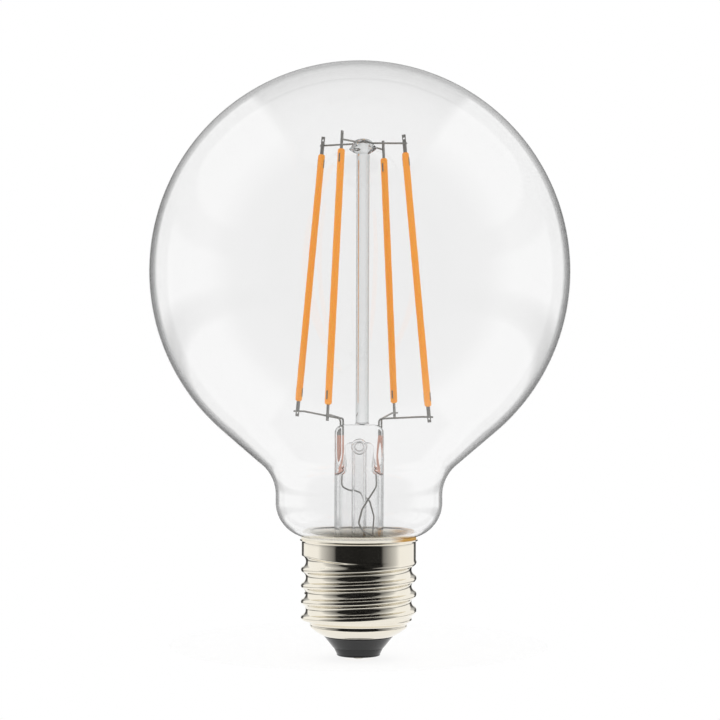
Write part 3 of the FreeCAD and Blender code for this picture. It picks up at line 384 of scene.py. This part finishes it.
def stem_inside(outline, columns):
    """Rings of the hollow, pressed as the outside is, and narrowed to the arch's width in x."""
    angle = np.linspace(0, 2 * np.pi, columns, endpoint=False)
    radius, level = outline[:, :1], outline[:, 1:]
    flat = eased((level - PINCH_LOW) / (PINCH_HIGH - PINCH_LOW))
    narrow = eased((level - ARCH_LOW) / ARCH_SLOPE)
    across, along = radius * np.cos(angle), radius * np.sin(angle)
    along = (1 - flat) * along + flat * clipped(along, HOLLOW_DEPTH)
    across = (1 - narrow) * across + narrow * clipped(across, ARCH_WIDTH)
    width = 1 - rounded_off(level, ARCH_TOP, ARCH_CORNER) / ARCH_WIDTH
    depth = 1 - rounded_off(level, ARCH_TOP, ARCH_EDGE) / HOLLOW_DEPTH
    return np.stack([across * width, along * depth, level + 0 * angle], axis=-1)


print("press:", 2 * FLARE_RADIUS, "mm wide and", 2 * PRESS_DEPTH, "mm thick")

# %% [markdown]
# Air was blown up the exhaust tube until it burst out through the hot press, and the hole it left has a
# thick lip. In clear glass the lip is what the eye sees, so it is a ring of glass, sunk a little over half
# into the press.

# %% Stem
LIP_REACH, LIP_HALF, LIP_LEVEL, LIP_SUNK = 1.35, 0.5, 48.4, 0.12
STEM_COLUMNS = 144


def blow_ring(columns=48, rows=20):
    """A torus on the press's front: x = (R + r cos b) cos a, z = lip level + (R + r cos b) sin a and
    y = r sin b - press depth + sunk."""
    angle = np.linspace(0, 2 * np.pi, columns, endpoint=False)
    turn = np.linspace(0, -2 * np.pi, rows, endpoint=False)[:, None]
    reach = LIP_REACH + LIP_HALF * np.cos(turn)
    front = -PRESS_DEPTH + LIP_SUNK + LIP_HALF * np.sin(turn)
    return np.stack([reach * np.cos(angle), front + 0 * angle, LIP_LEVEL + reach * np.sin(angle)], axis=-1)


bore = FLARE_RADIUS - FLARE_WALL
foot_curve = FOOT_CENTRE[0] - FLARE_RADIUS
outside = np.concatenate([
    run((0, PRESS_TOP), (FLARE_RADIUS, PRESS_TOP), 6),
    arc((FLARE_RADIUS, PRESS_TOP - PRESS_CORNER), PRESS_CORNER, 90, 0, 16) * (0, 1) + (FLARE_RADIUS, 0),
    run((FLARE_RADIUS, PRESS_TOP - PRESS_CORNER), (FLARE_RADIUS, PINCH_HIGH), 6),
    run((FLARE_RADIUS, PINCH_HIGH), (FLARE_RADIUS, PINCH_LOW), 24),
    run((FLARE_RADIUS, PINCH_LOW), (FLARE_RADIUS, FOOT_CENTRE[1]), 16),
    arc(FOOT_CENTRE, foot_curve, 180, 270, 16),
    [(FOOT_CENTRE[0], SEAL_LEVEL), (NECK_RADIUS, SEAL_LEVEL), (NECK_RADIUS, SEAL_LEVEL - FLARE_WALL)]])
inside = np.concatenate([
    arc(FOOT_CENTRE, foot_curve + FLARE_WALL, 270, 180, 16),
    run((bore, FOOT_CENTRE[1]), (bore, PINCH_LOW), 16),
    run((bore, PINCH_LOW), (bore, ARCH_TOP - ARCH_CORNER), 32),
    arc((bore, ARCH_TOP - ARCH_CORNER), ARCH_CORNER, 0, 90, 12) * (0, 1) + (bore, 0),
    run((bore, ARCH_TOP), (0, ARCH_TOP), 6), [(0, ARCH_TOP)]])
stem_rings = np.concatenate([stem_outside(outside, STEM_COLUMNS), stem_inside(inside, STEM_COLUMNS)])
make_piece("stem", [skin(stem_rings), skin(blow_ring(), closed_rows=True)], tube_glass,
           ["stem_flare"])

# %% [markdown]
# ## Exhaust tube
# Air is pumped out of the lamp through this thin tube, which is then melted shut. It is a test tube upside
# down: one outline runs from the inner end up the bore, over the rim and down the outside, so both walls are
# one closed skin.

# %% Exhaust tube
TUBE_RADIUS, TUBE_BORE, TUBE_TIP, TIP_WALL = 1.675, 1.125, 14.3, 0.9

bore_low = TUBE_TIP + TIP_WALL + TUBE_BORE
tube_outline = np.concatenate([
    arc((0, bore_low), TUBE_BORE, -90, 0, 12),
    run((TUBE_BORE, bore_low), (TUBE_BORE, ARCH_TOP), 30),
    run((TUBE_BORE, ARCH_TOP), (TUBE_RADIUS, ARCH_TOP)),
    run((TUBE_RADIUS, ARCH_TOP), (TUBE_RADIUS, TUBE_TIP + TUBE_RADIUS), 30),
    arc((0, TUBE_TIP + TUBE_RADIUS), TUBE_RADIUS, 0, -90, 14), [(0, TUBE_TIP)]])
make_piece("exhaust", [skin(turned(tube_outline, 72))], tube_glass, ["exhaust_tube"])

# %% [markdown]
# ## Rod and button
# The rod carries the filaments' top wires in a button of glass, which is pressed while soft and has a lobe
# round each wire. The button is a turned form whose radius swells at the four wires. It could be sculpted,
# but the formula puts each lobe exactly on its wire.

# %% Rod and button
ROD_OFFSET, ROD_RADIUS, ROD_FILLET, FIRST_AZIMUTH = 0.65, 1.46, 0.4, 63.0
BUTTON_LEVEL, BUTTON_RADIUS, BUTTON_HALF, BUTTON_END = 115.85, 2.4, 1.85, 2.62
BUTTON_BULGE = 0.8
NECK_STEP, NECK_HIGH, NECK_LOW = 0.04, 113.95, 113.6
LOBE_REACH, LOBE_LEVEL, LOBE_HALF = 1.05, 115.4, 0.7
ROD_FOOT, ROD_SUNK = PRESS_TOP + 0.5, 0.05


def button_rings(columns=96):
    """Rings (r cos a, r sin a, z), where r is the outline's radius and a swell in four lobes:
    reach e^(-((z - lobe level) / half)^2) ((1 + cos 4a) / 2)^1.5, which fades out towards the axis."""
    turn = np.linspace(0, BUTTON_END, 44)
    radius = BUTTON_RADIUS * np.sin(turn) ** BUTTON_BULGE
    level = BUTTON_LEVEL + BUTTON_HALF * np.sign(np.cos(turn)) * np.abs(np.cos(turn)) ** BUTTON_BULGE
    outline = np.concatenate([
        np.stack([radius, level], axis=1),
        run((ROD_RADIUS + NECK_STEP, NECK_HIGH), (ROD_RADIUS, NECK_LOW), 3),
        run((ROD_RADIUS, NECK_LOW), (ROD_RADIUS, ROD_FOOT), 40),
        arc((ROD_RADIUS + ROD_FILLET, ROD_FOOT), ROD_FILLET, 180, 250, 8), [(0, PRESS_TOP - ROD_SUNK)]])
    angle = np.linspace(0, 2 * np.pi, columns, endpoint=False)
    radius, level = outline[:, :1], outline[:, 1:]
    lobes = ((1 + np.cos(4 * (angle - np.radians(FIRST_AZIMUTH)))) / 2) ** 1.5
    swell = LOBE_REACH * np.exp(-((level - LOBE_LEVEL) / LOBE_HALF) ** 2) * np.clip(radius / 2, 0, 1)
    radius = radius + swell * lobes
    return np.stack([ROD_OFFSET + radius * np.cos(angle), radius * np.sin(angle),
                     level + 0 * angle], axis=-1)


make_piece("rod", [skin(button_rings())], rod_glass, ["centre_rod"])

# %% [markdown]
# ## Filaments
# Each filament is a metal strip with a row of chips, coated all round with phosphor silicone. The four stand
# on a cone round the rod. A coat is a long capsule: a turned outline, carried to the filament's own place
# and lean. Dispensed silicone is never quite even, so its radius waves by a few hundredths of a millimetre,
# which a plain cylinder would lack.

# %% Filament coats
SIDES = ["right_inner", "left_outer", "left_inner", "right_outer"]
UPPER_RING, LOWER_RING, CAGE_SLOPE = (10.6, 114.4), (16.45, 57.65), 0.025
COAT_RADIUS, COAT_ROUNDING = 0.78, 0.55
# How much the radius waves along the coat and round it, and two wave numbers along it
WAVE_ALONG, WAVE_ROUND, SHORT_WAVE, LONG_WAVE = 0.02, 0.015, 0.9, 0.23


def ring_point(ring, index):
    """One end of a coat. The rings lean a little: z = level - slope r cos a."""
    angle = np.radians(FIRST_AZIMUTH + 90 * index)
    along = ring[0] * np.cos(angle)
    return np.array([ROD_OFFSET + along, ring[0] * np.sin(angle), ring[1] - CAGE_SLOPE * along])


def coat_rings(index, columns=40):
    """Rings of a capsule from its lower end p to its upper end q: p + z u + r (cos a v + sin a w), where u is
    the filament's direction and v, w are square to it. r waves by sin(0.9z + index) sin 0.23z and cos 2a."""
    low, high = ring_point(LOWER_RING, index), ring_point(UPPER_RING, index)
    length = np.linalg.norm(high - low)
    up = (high - low) / length
    side = np.cross(up, (0, 0, 1))
    side /= np.linalg.norm(side)
    core = COAT_RADIUS - COAT_ROUNDING
    outline = np.concatenate([
        [(0, length)], arc((core, length - COAT_ROUNDING), COAT_ROUNDING, 90, 0, 10),
        run((COAT_RADIUS, length - COAT_ROUNDING), (COAT_RADIUS, COAT_ROUNDING), 160),
        arc((core, COAT_ROUNDING), COAT_ROUNDING, 0, -90, 10), [(core, 0), (0, 0)]])
    angle = np.linspace(0, 2 * np.pi, columns, endpoint=False)
    radius, level = outline[:, :1], outline[:, 1:]
    along_it = WAVE_ALONG * np.sin(level * SHORT_WAVE + index) * np.sin(level * LONG_WAVE)
    radius = radius * (1 + along_it + WAVE_ROUND * np.cos(2 * angle))
    return (low + level[..., None] * up + (radius * np.cos(angle))[..., None] * side
            + (radius * np.sin(angle))[..., None] * np.cross(up, side))


for index, side in enumerate(SIDES):
    make_piece(f"coat_{side}", [skin(coat_rings(index))], phosphor_coat,
               [f"filament_{side}_coat"])

# %% [markdown]
# ## Screw cap
# The shell is thin brass sheet. Its thread is rolled into it, so it has round crests and round roots with no
# edge, and the same form shows on the inside. The radius depends on the level and on the angle round the
# axis: a crest climbs one pitch in each turn. A profile swept along a helix would have to be cut and joined
# at both ends, while a radius can run out there by itself. Near the collar the groove runs out, and at the
# other end the thread runs into the bowl that holds the insulator. The rim is turned out over the glass.

# %% Thread
SHEET, CREST, ROOT, PITCH, CREST_LEVEL = 0.3, 13.1, 12.0, 3.629, 18.43
CREST_SHARE, GROOVE_END, INCH = 0.35, 0.3, 25.4


def thread_radius(angle, level):
    """Outer radius of the thread: an arc of radius c on a crest and one of radius g in a groove, which touch
    at c / (c + g) of the way from crest to groove. At a distance x from the crest the radius is
    crest - c + sqrt(c^2 - x^2), or root + g - sqrt(g^2 - (pitch / 2 - x)^2)."""
    depth = CREST - ROOT
    both = (PITCH ** 2 / 4 + depth ** 2) / (2 * depth)
    on_crest, in_groove = CREST_SHARE * both, (1 - CREST_SHARE) * both
    from_crest = np.mod(level - CREST_LEVEL - PITCH * angle / (2 * np.pi), PITCH)
    from_crest = np.minimum(from_crest, PITCH - from_crest)
    touch = CREST_SHARE * PITCH / 2
    crest = CREST - on_crest + np.sqrt(on_crest ** 2 - np.minimum(from_crest, touch) ** 2)
    from_groove = PITCH / 2 - np.maximum(from_crest, touch)
    groove = ROOT + in_groove - np.sqrt(in_groove ** 2 - from_groove ** 2)
    return np.where(from_crest < touch, crest, groove)


def run_out(angle, level, over_collar):
    """The thread's end at the collar, n pitches above the first crest. Over n = 1 the groove is full at the
    left side, a = -pi, and eases to nothing on its way round the front to the right. Over n = 0.5 the crest
    eases to nothing on its way round the back, from a = 0 to pi."""
    turns = (level - CREST_LEVEL - PITCH * angle / (2 * np.pi)) / PITCH
    groove = np.where(turns > 1, eased((-angle / np.pi - GROOVE_END) / (1 - GROOVE_END)), 1)
    crest = np.where(turns > 1.5, 0, np.where(turns > 0.5, 1 - eased(angle / np.pi), 1))
    return np.maximum(over_collar, 0) * crest + np.minimum(over_collar, 0) * groove


print("thread:", round(INCH / PITCH, 2), "turns to the inch,", round(CREST - ROOT, 2), "mm deep")

# %% Screw cap
COLLAR_RADIUS, COLLAR_TOP, BAND_HIGH, BAND_LOW = 12.95, 26.4, 23.9, 8.1
GROOVE_FADE, GROOVE_DROP, BOWL_BLEND = 0.6, 1.1, 0.9
RIM_CURVE, RIM_ANGLE = 0.5, 80
BOWL_CENTRE, BOWL_CURVE, HOLE_RADIUS = np.array([3.29, 15.83]), 11.5, 7.8
SHOULDER_ANGLE, SHOULDER_CURVE = 49, 0.6
SHELL_COLUMNS = 224

shoulder_turn = np.radians(SHOULDER_ANGLE)
shoulder_arm = np.array([np.cos(shoulder_turn), -np.sin(shoulder_turn)])
shoulder_centre = BOWL_CENTRE + (BOWL_CURVE - SHOULDER_CURVE) * shoulder_arm
shoulder_radius = shoulder_centre[0] + SHOULDER_CURVE


def shell_rings(outline, depth, columns):
    """Rings of the shell. Rows on the band take the thread's radius, run out into the collar above it and
    eased into the bowl below it; all other rows keep their own. The collar's lower edge falls from the left
    side to the front, and climbs again behind."""
    angle = np.linspace(-np.pi, np.pi, columns, endpoint=False)
    radius, level = outline[:, :1], outline[:, 1:]
    collar, shoulder = COLLAR_RADIUS - depth, shoulder_radius - depth
    thread = collar + run_out(angle, level, thread_radius(angle, level) - COLLAR_RADIUS)
    drop = np.where(angle < 0, eased(2 + 2 * angle / np.pi), 1 - eased(angle / np.pi))
    collar_low = BAND_HIGH - GROOVE_DROP * drop
    thread += (collar - thread) * eased((level - collar_low + GROOVE_FADE) / GROOVE_FADE)
    thread = shoulder + (thread - shoulder) * eased((level - BAND_LOW) / BOWL_BLEND)
    on_band = (level > BAND_LOW) & (level < BAND_HIGH)
    radius = np.where(on_band, thread, radius + 0 * angle)
    return np.stack([radius * np.cos(angle), radius * np.sin(angle), level + 0 * angle], axis=-1)


def shell_wall(depth, band_rows):
    """The shell's outline from the rim's edge down to the hole in the bowl, at a depth into the sheet. Its
    arcs keep their centres, as the envelope's do."""
    collar, shoulder = COLLAR_RADIUS - depth, shoulder_radius - depth
    rim = (COLLAR_RADIUS + RIM_CURVE, COLLAR_TOP)
    end = -np.degrees(np.arccos((HOLE_RADIUS - BOWL_CENTRE[0]) / (BOWL_CURVE - depth)))
    return np.concatenate([
        arc(rim, RIM_CURVE + depth, 180 - RIM_ANGLE, 180, 10),
        run((collar, COLLAR_TOP), (collar, BAND_HIGH), 4),
        run((collar, BAND_HIGH), (collar, BAND_LOW), band_rows),
        run((shoulder, BAND_LOW), (shoulder, shoulder_centre[1]), 2),
        arc(shoulder_centre, SHOULDER_CURVE - depth, 0, -SHOULDER_ANGLE, 10),
        arc(BOWL_CENTRE, BOWL_CURVE - depth, -SHOULDER_ANGLE, end, 14),
        arc(BOWL_CENTRE, BOWL_CURVE - depth, end, end - 1, 1)])


outer_rings = shell_rings(shell_wall(0, 150), 0, SHELL_COLUMNS)
inner_rings = shell_rings(shell_wall(SHEET, 76), SHEET, SHELL_COLUMNS)
make_piece("cap", [skin(np.concatenate([outer_rings, inner_rings[::-1]]), closed_rows=True)], cap_nickel,
           ["cap_shell"])

# %% [markdown]
# ## Insulator, contact and solder
# Black glass is moulded into the bowl round the contact plate, so its outer side follows the bowl's arc. The
# plate is a shallow dish, and the wire from the driver is soldered into its eyelet from outside, which
# leaves a low drop. All three are turned forms, and only the drop has an uneven edge, as solder has.

# %% Insulator
GLASS_TOP, GLASS_FOOT, EYELET_RADIUS = 7.0, 0.8, 0.9
PLATE_RADIUS = 3.6

sheet_curve = BOWL_CURVE - SHEET
bowl_start = BOWL_CENTRE[0] + np.sqrt(sheet_curve ** 2 - (BOWL_CENTRE[1] - GLASS_TOP) ** 2)
hole_angle = np.degrees(np.arccos((HOLE_RADIUS - BOWL_CENTRE[0]) / sheet_curve))
glass_low = np.degrees(np.arcsin((GLASS_TOP - BOWL_CENTRE[1]) / sheet_curve))
# From the eyelet out over the top, down the bowl, the cone and the ring at its foot, and in under the plate
insulator_outline = np.concatenate([
    run((EYELET_RADIUS, GLASS_TOP), (bowl_start, GLASS_TOP), 4),
    arc(BOWL_CENTRE, sheet_curve, glass_low, -hole_angle, 10),
    [(HOLE_RADIUS, 5.4), (HOLE_RADIUS, 5.12), (HOLE_RADIUS - 0.12, 5.0)],
    run((HOLE_RADIUS - 0.2, 4.9), (5.85, 2.72), 6),
    arc((5.72, 2.8), 0.15, -30, -80, 4), [(5.62, 2.62), (5.55, 2.55)],
    run((5.53, 2.4), (4.95, 1.22), 4), arc((4.65, 1.1), 0.3, 20, -90, 8),
    [(4.5, GLASS_FOOT), (PLATE_RADIUS + 0.06, GLASS_FOOT), (PLATE_RADIUS, 0.86), (PLATE_RADIUS, 1.2),
     (EYELET_RADIUS, 0.62)]])
make_piece("insulator", [skin(turned(insulator_outline, 128), closed_rows=True)], black_glass,
           ["cap_insulator"])

# %% Contact
DISH, DISH_CENTRE, PLATE, PLATE_HOLE = 10.0, 10.2, 0.35, 0.6


def dish(radius, reach):
    """Level of the dished plate at a radius: centre - sqrt(reach^2 - r^2)."""
    return DISH_CENTRE - np.sqrt(reach ** 2 - radius ** 2)


plate_radius = np.linspace(PLATE_HOLE, PLATE_RADIUS, 14)
contact_outline = np.concatenate([
    np.stack([plate_radius, dish(plate_radius, DISH - PLATE)], axis=1),
    np.stack([plate_radius, dish(plate_radius, DISH)], axis=1)[::-1]])
make_piece("contact", [skin(turned(contact_outline, 96), closed_rows=True)], contact_brass,
           ["centre_contact"])

# %% Solder
DROP_RADIUS, DROP_HEIGHT, DROP_POWER = 1.6, 0.33, 2.4
THREE_WAVES, FIVE_WAVES = 0.06, 0.04
# The drop's plug in the eyelet, as (radius, level) points
PLUG = np.array([[0, 0.75], [0.55, 0.75], [0.58, 0.4]])


def solder_rings(columns=72):
    """A low drop under the plate, z = height (r / radius)^2.4. Its edge waves by sin 3a and sin 5a."""
    radius = np.linspace(0, DROP_RADIUS, 14)[:, None]
    angle = np.linspace(0, 2 * np.pi, columns, endpoint=False)
    edge = 1 + THREE_WAVES * np.sin(3 * angle + 1) + FIVE_WAVES * np.sin(5 * angle)
    reach = radius * (1 + (edge - 1) * (radius / DROP_RADIUS))
    under = DROP_HEIGHT * (radius / DROP_RADIUS) ** DROP_POWER + 0 * angle
    drop = np.stack([reach * np.cos(angle), reach * np.sin(angle), under], axis=-1)[::-1]
    return np.concatenate([turned(PLUG, columns), drop])


make_piece("solder", [skin(solder_rings())], tin_solder, ["contact_solder"])

# %% [markdown]
# ## Studio
# The lamp is photographed against white, between two tall white screens, in a dark room. Bright metal has no
# look of its own: what it shows is that room. Lamps and screens could be set up as objects, but they would
# have to be hidden from the other views. So the room is painted into the world by direction: a white
# backdrop no wider than the picture needs, a dark gap beside it that draws thin dark edges, a screen on each
# side, and the dark room behind the camera.

# %% Screens and backdrop
# Brightness by the angle from the camera's side, where 0 is the camera and 1 the backdrop's middle
SCREENS = [(0.0, 0.01), (0.258, 0.015), (0.285, 0.2), (0.36, 0.42), (0.44, 0.66), (0.49, 0.95),
           (0.51, 1.0), (0.8, 1.0), (0.82, 0.08), (0.9, 0.08), (0.92, 0.0), (1.0, 0.0)]
WHITE_BACKDROP = [(0.0, 0.0), (0.91, 0.0), (0.93, 0.8), (0.94, 1.0), (1.0, 1.0)]
# Share of it by how far a direction points down. A dim strip below the screens, beyond the table's edge,
# draws the lower side of each turn of the thread
DIM_STRIP = [(0.0, 1.0), (0.1, 1.0), (0.2, 0.3), (0.27, 0.3), (0.34, 1.0), (1.0, 1.0)]

world = bpy.data.worlds.new("studio")
bpy.context.scene.world = world
world.use_nodes = True
tree = world.node_tree
tree.nodes.clear()
direction = add(tree, "ShaderNodeTexCoord").outputs["Generated"]
xyz = add(tree, "ShaderNodeSeparateXYZ", links={"Vector": direction})
towards = add(tree, "ShaderNodeMath", operation="MULTIPLY", values={1: -1.0}, links={0: xyz.outputs["Y"]})
turn = add(tree, "ShaderNodeMath", operation="ARCCOSINE", links={0: towards.outputs[0]})
share = add(tree, "ShaderNodeMath", operation="DIVIDE", values={1: float(np.pi)},
            links={0: turn.outputs[0]})
down = add(tree, "ShaderNodeMath", operation="MULTIPLY", values={1: -1.0}, links={0: xyz.outputs["Z"]})
screens, backdrop, below = [add(tree, "ShaderNodeValToRGB", links={"Fac": node.outputs[0]})
                            for node in (share, share, down)]
for node, stops in ((screens, SCREENS), (backdrop, WHITE_BACKDROP), (below, DIM_STRIP)):
    elements = node.color_ramp.elements
    while len(elements) < len(stops):
        elements.new(0.5)
    for element, (place, level) in zip(elements, stops):
        element.position = place
        element.color = (level, level, level, 1)
print("stops of the screens, the backdrop and the strip:",
      len(SCREENS), len(WHITE_BACKDROP), len(DIM_STRIP))

# %% Ceiling and far wall
# The screens end at this slope upwards, with a soft edge, and over them the ceiling is dim
SCREEN_TOP, SCREEN_SOFT, OVERHEAD = 1.8, 0.15, 0.25
# The gap is only dark near the height of the lamp. Higher up, by a direction's Z, the far wall is pale
GAP_FROM, WALL_LOW, WALL_HIGH, WALL = 0.7, 0.1, 0.35, 0.6
# Straight up there is no X to divide by, so it is at least this
LEAST_X = 0.001

aside = add(tree, "ShaderNodeMath", operation="ABSOLUTE", links={0: xyz.outputs["X"]})
off_axis = add(tree, "ShaderNodeMath", operation="MAXIMUM", values={1: LEAST_X},
               links={0: aside.outputs[0]})
slope = add(tree, "ShaderNodeMath", operation="DIVIDE",
            links={0: xyz.outputs["Z"], 1: off_axis.outputs[0]})
ceiling = add(tree, "ShaderNodeMapRange", links={0: slope.outputs[0]},
              values={1: SCREEN_TOP - SCREEN_SOFT, 2: SCREEN_TOP + SCREEN_SOFT, 3: 1.0, 4: OVERHEAD})
high_lit = add(tree, "ShaderNodeMath", operation="MULTIPLY",
               links={0: screens.outputs["Color"], 1: ceiling.outputs[0]})
lit = add(tree, "ShaderNodeMath", operation="MULTIPLY",
          links={0: high_lit.outputs[0], 1: below.outputs["Color"]})
between = add(tree, "ShaderNodeMath", operation="ADD",
              links={0: lit.outputs[0], 1: backdrop.outputs["Color"]})
behind = add(tree, "ShaderNodeMath", operation="GREATER_THAN", values={1: GAP_FROM},
             links={0: share.outputs[0]})
upwards = add(tree, "ShaderNodeMapRange", values={1: WALL_LOW, 2: WALL_HIGH, 3: 0.0, 4: WALL},
              links={0: xyz.outputs["Z"]})
wall = add(tree, "ShaderNodeMath", operation="MULTIPLY",
           links={0: behind.outputs[0], 1: upwards.outputs[0]})
dark_room = add(tree, "ShaderNodeMath", operation="MAXIMUM",
                links={0: between.outputs[0], 1: wall.outputs[0]})
print("ceiling", OVERHEAD, "and far wall", WALL, "of white")

# %% [markdown]
# Only mirrored rays see that room. All other rays, also those that go straight through glass, see plain even
# white of strength 1, at which a colour shows about as it is written. Light Path counts a ray's reflections
# in Glossy Depth. A mirrored ray that goes on to a dull surface lights it evenly again, and one that comes
# through glass sees at least a pale grey, because bright glass stands between it and the dark.

# %% Who sees the room
IN_GLASS = 0.6

rays = add(tree, "ShaderNodeLightPath")
mirrored = add(tree, "ShaderNodeMath", operation="GREATER_THAN", values={1: 0.5},
               links={0: rays.outputs["Glossy Depth"]})
undimmed = add(tree, "ShaderNodeMath", operation="LESS_THAN", values={1: 0.5},
               links={0: rays.outputs["Diffuse Depth"]})
in_glass = add(tree, "ShaderNodeMath", operation="MULTIPLY", values={1: IN_GLASS},
               links={0: rays.outputs["Is Transmission Ray"]})
room = add(tree, "ShaderNodeMath", operation="MAXIMUM",
           links={0: dark_room.outputs[0], 1: in_glass.outputs[0]})
shown = add(tree, "ShaderNodeMath", operation="MULTIPLY",
            links={0: mirrored.outputs[0], 1: undimmed.outputs[0]})
level = add(tree, "ShaderNodeMix", values={"A": 1.0},
            links={"Factor": shown.outputs[0], "B": room.outputs[0]})
light = add(tree, "ShaderNodeBackground", values={"Strength": 1.0}, links={"Color": level.outputs[0]})
add(tree, "ShaderNodeOutputWorld", links={"Surface": light.outputs["Background"]})
print("world nodes:", len(tree.nodes))

# %% [markdown]
# ## Floor
# The lamp stands near the front edge of a pale round table top. The photograph was cleared to pure white, so
# most of what the camera, the metal and the glass see of the table is plain white of strength 1, and the
# rest is its own dull surface, which keeps a light shadow under the lamp.

# %% Floor
TABLE_RADIUS, TABLE_SIDES, TABLE_BACK, WHITE_SHARE = 45.0, 96, 25.0, 0.85

angle = np.linspace(0, 2 * np.pi, TABLE_SIDES, endpoint=False)
edge = np.stack([np.cos(angle), np.sin(angle) + TABLE_BACK / TABLE_RADIUS, 0 * angle], axis=1)
edge = edge * TABLE_RADIUS * MM
mesh = bpy.data.meshes.new("table")
mesh.from_pydata(edge.tolist(), [], [tuple(range(TABLE_SIDES))])
# Matt paint, just off white
pale_table = bpy.data.materials.new("pale_matt_table")
pale_table.use_nodes = True
tree = pale_table.node_tree
tree.nodes.clear()
rays = add(tree, "ShaderNodeLightPath")
through = add(tree, "ShaderNodeMath", operation="MAXIMUM",
              links={0: rays.outputs["Is Camera Ray"], 1: rays.outputs["Is Transmission Ray"]})
shows_white = add(tree, "ShaderNodeMath", operation="MAXIMUM",
                  links={0: through.outputs[0], 1: rays.outputs["Is Glossy Ray"]})
white_part = add(tree, "ShaderNodeMath", operation="MULTIPLY", values={1: WHITE_SHARE},
                 links={0: shows_white.outputs[0]})
dull = add(tree, "ShaderNodeBsdfDiffuse", values={"Color": linear("#FDFDFD")})
white = add(tree, "ShaderNodeEmission", values={"Strength": 1.0})
both = add(tree, "ShaderNodeMixShader",
           links={0: white_part.outputs[0], 1: dull.outputs[0], 2: white.outputs[0]})
add(tree, "ShaderNodeOutputMaterial", links={"Surface": both.outputs[0]})
mesh.materials.append(pale_table)
floor = bpy.data.objects.new("table", mesh)
bpy.context.scene.collection.objects.link(floor)
print("table:", 2 * TABLE_RADIUS, "mm across")

# %% [markdown]
# ## Camera
# The photograph is taken from straight in front with a long lens. The lamp's height in it, and how much
# larger the near side of the globe is than the far one, give the distance. Light goes through up to a dozen
# glass surfaces here, so it needs many bounces. Cycles' filter for soft reflections is off, because it would
# dim what is seen through the glass.

# %% Camera
CAMERA_DISTANCE, CAMERA_LEVEL, CAMERA_ACROSS = 487.0, 67.6, 0.12
LENS, CAMERA_ROLL = 107.6, -0.2
BOUNCES = 24

camera_data = bpy.data.cameras.new("camera")
camera_data.sensor_width = 36.0
camera_data.lens = LENS
camera_data.clip_start = 0.01
camera = bpy.data.objects.new("camera", camera_data)
camera.location = Vector((CAMERA_ACROSS, -CAMERA_DISTANCE, CAMERA_LEVEL)) * MM
camera.rotation_euler = (np.radians(90), np.radians(CAMERA_ROLL), 0)
bpy.context.scene.collection.objects.link(camera)
bpy.context.scene.camera = camera
bpy.context.scene.view_settings.view_transform = "Standard"
bpy.context.scene.cycles.max_bounces = BOUNCES
bpy.context.scene.cycles.transmission_bounces = BOUNCES
bpy.context.scene.cycles.blur_glossy = 0.0
print("camera:", CAMERA_DISTANCE, "mm away, with a lens of", LENS, "mm")
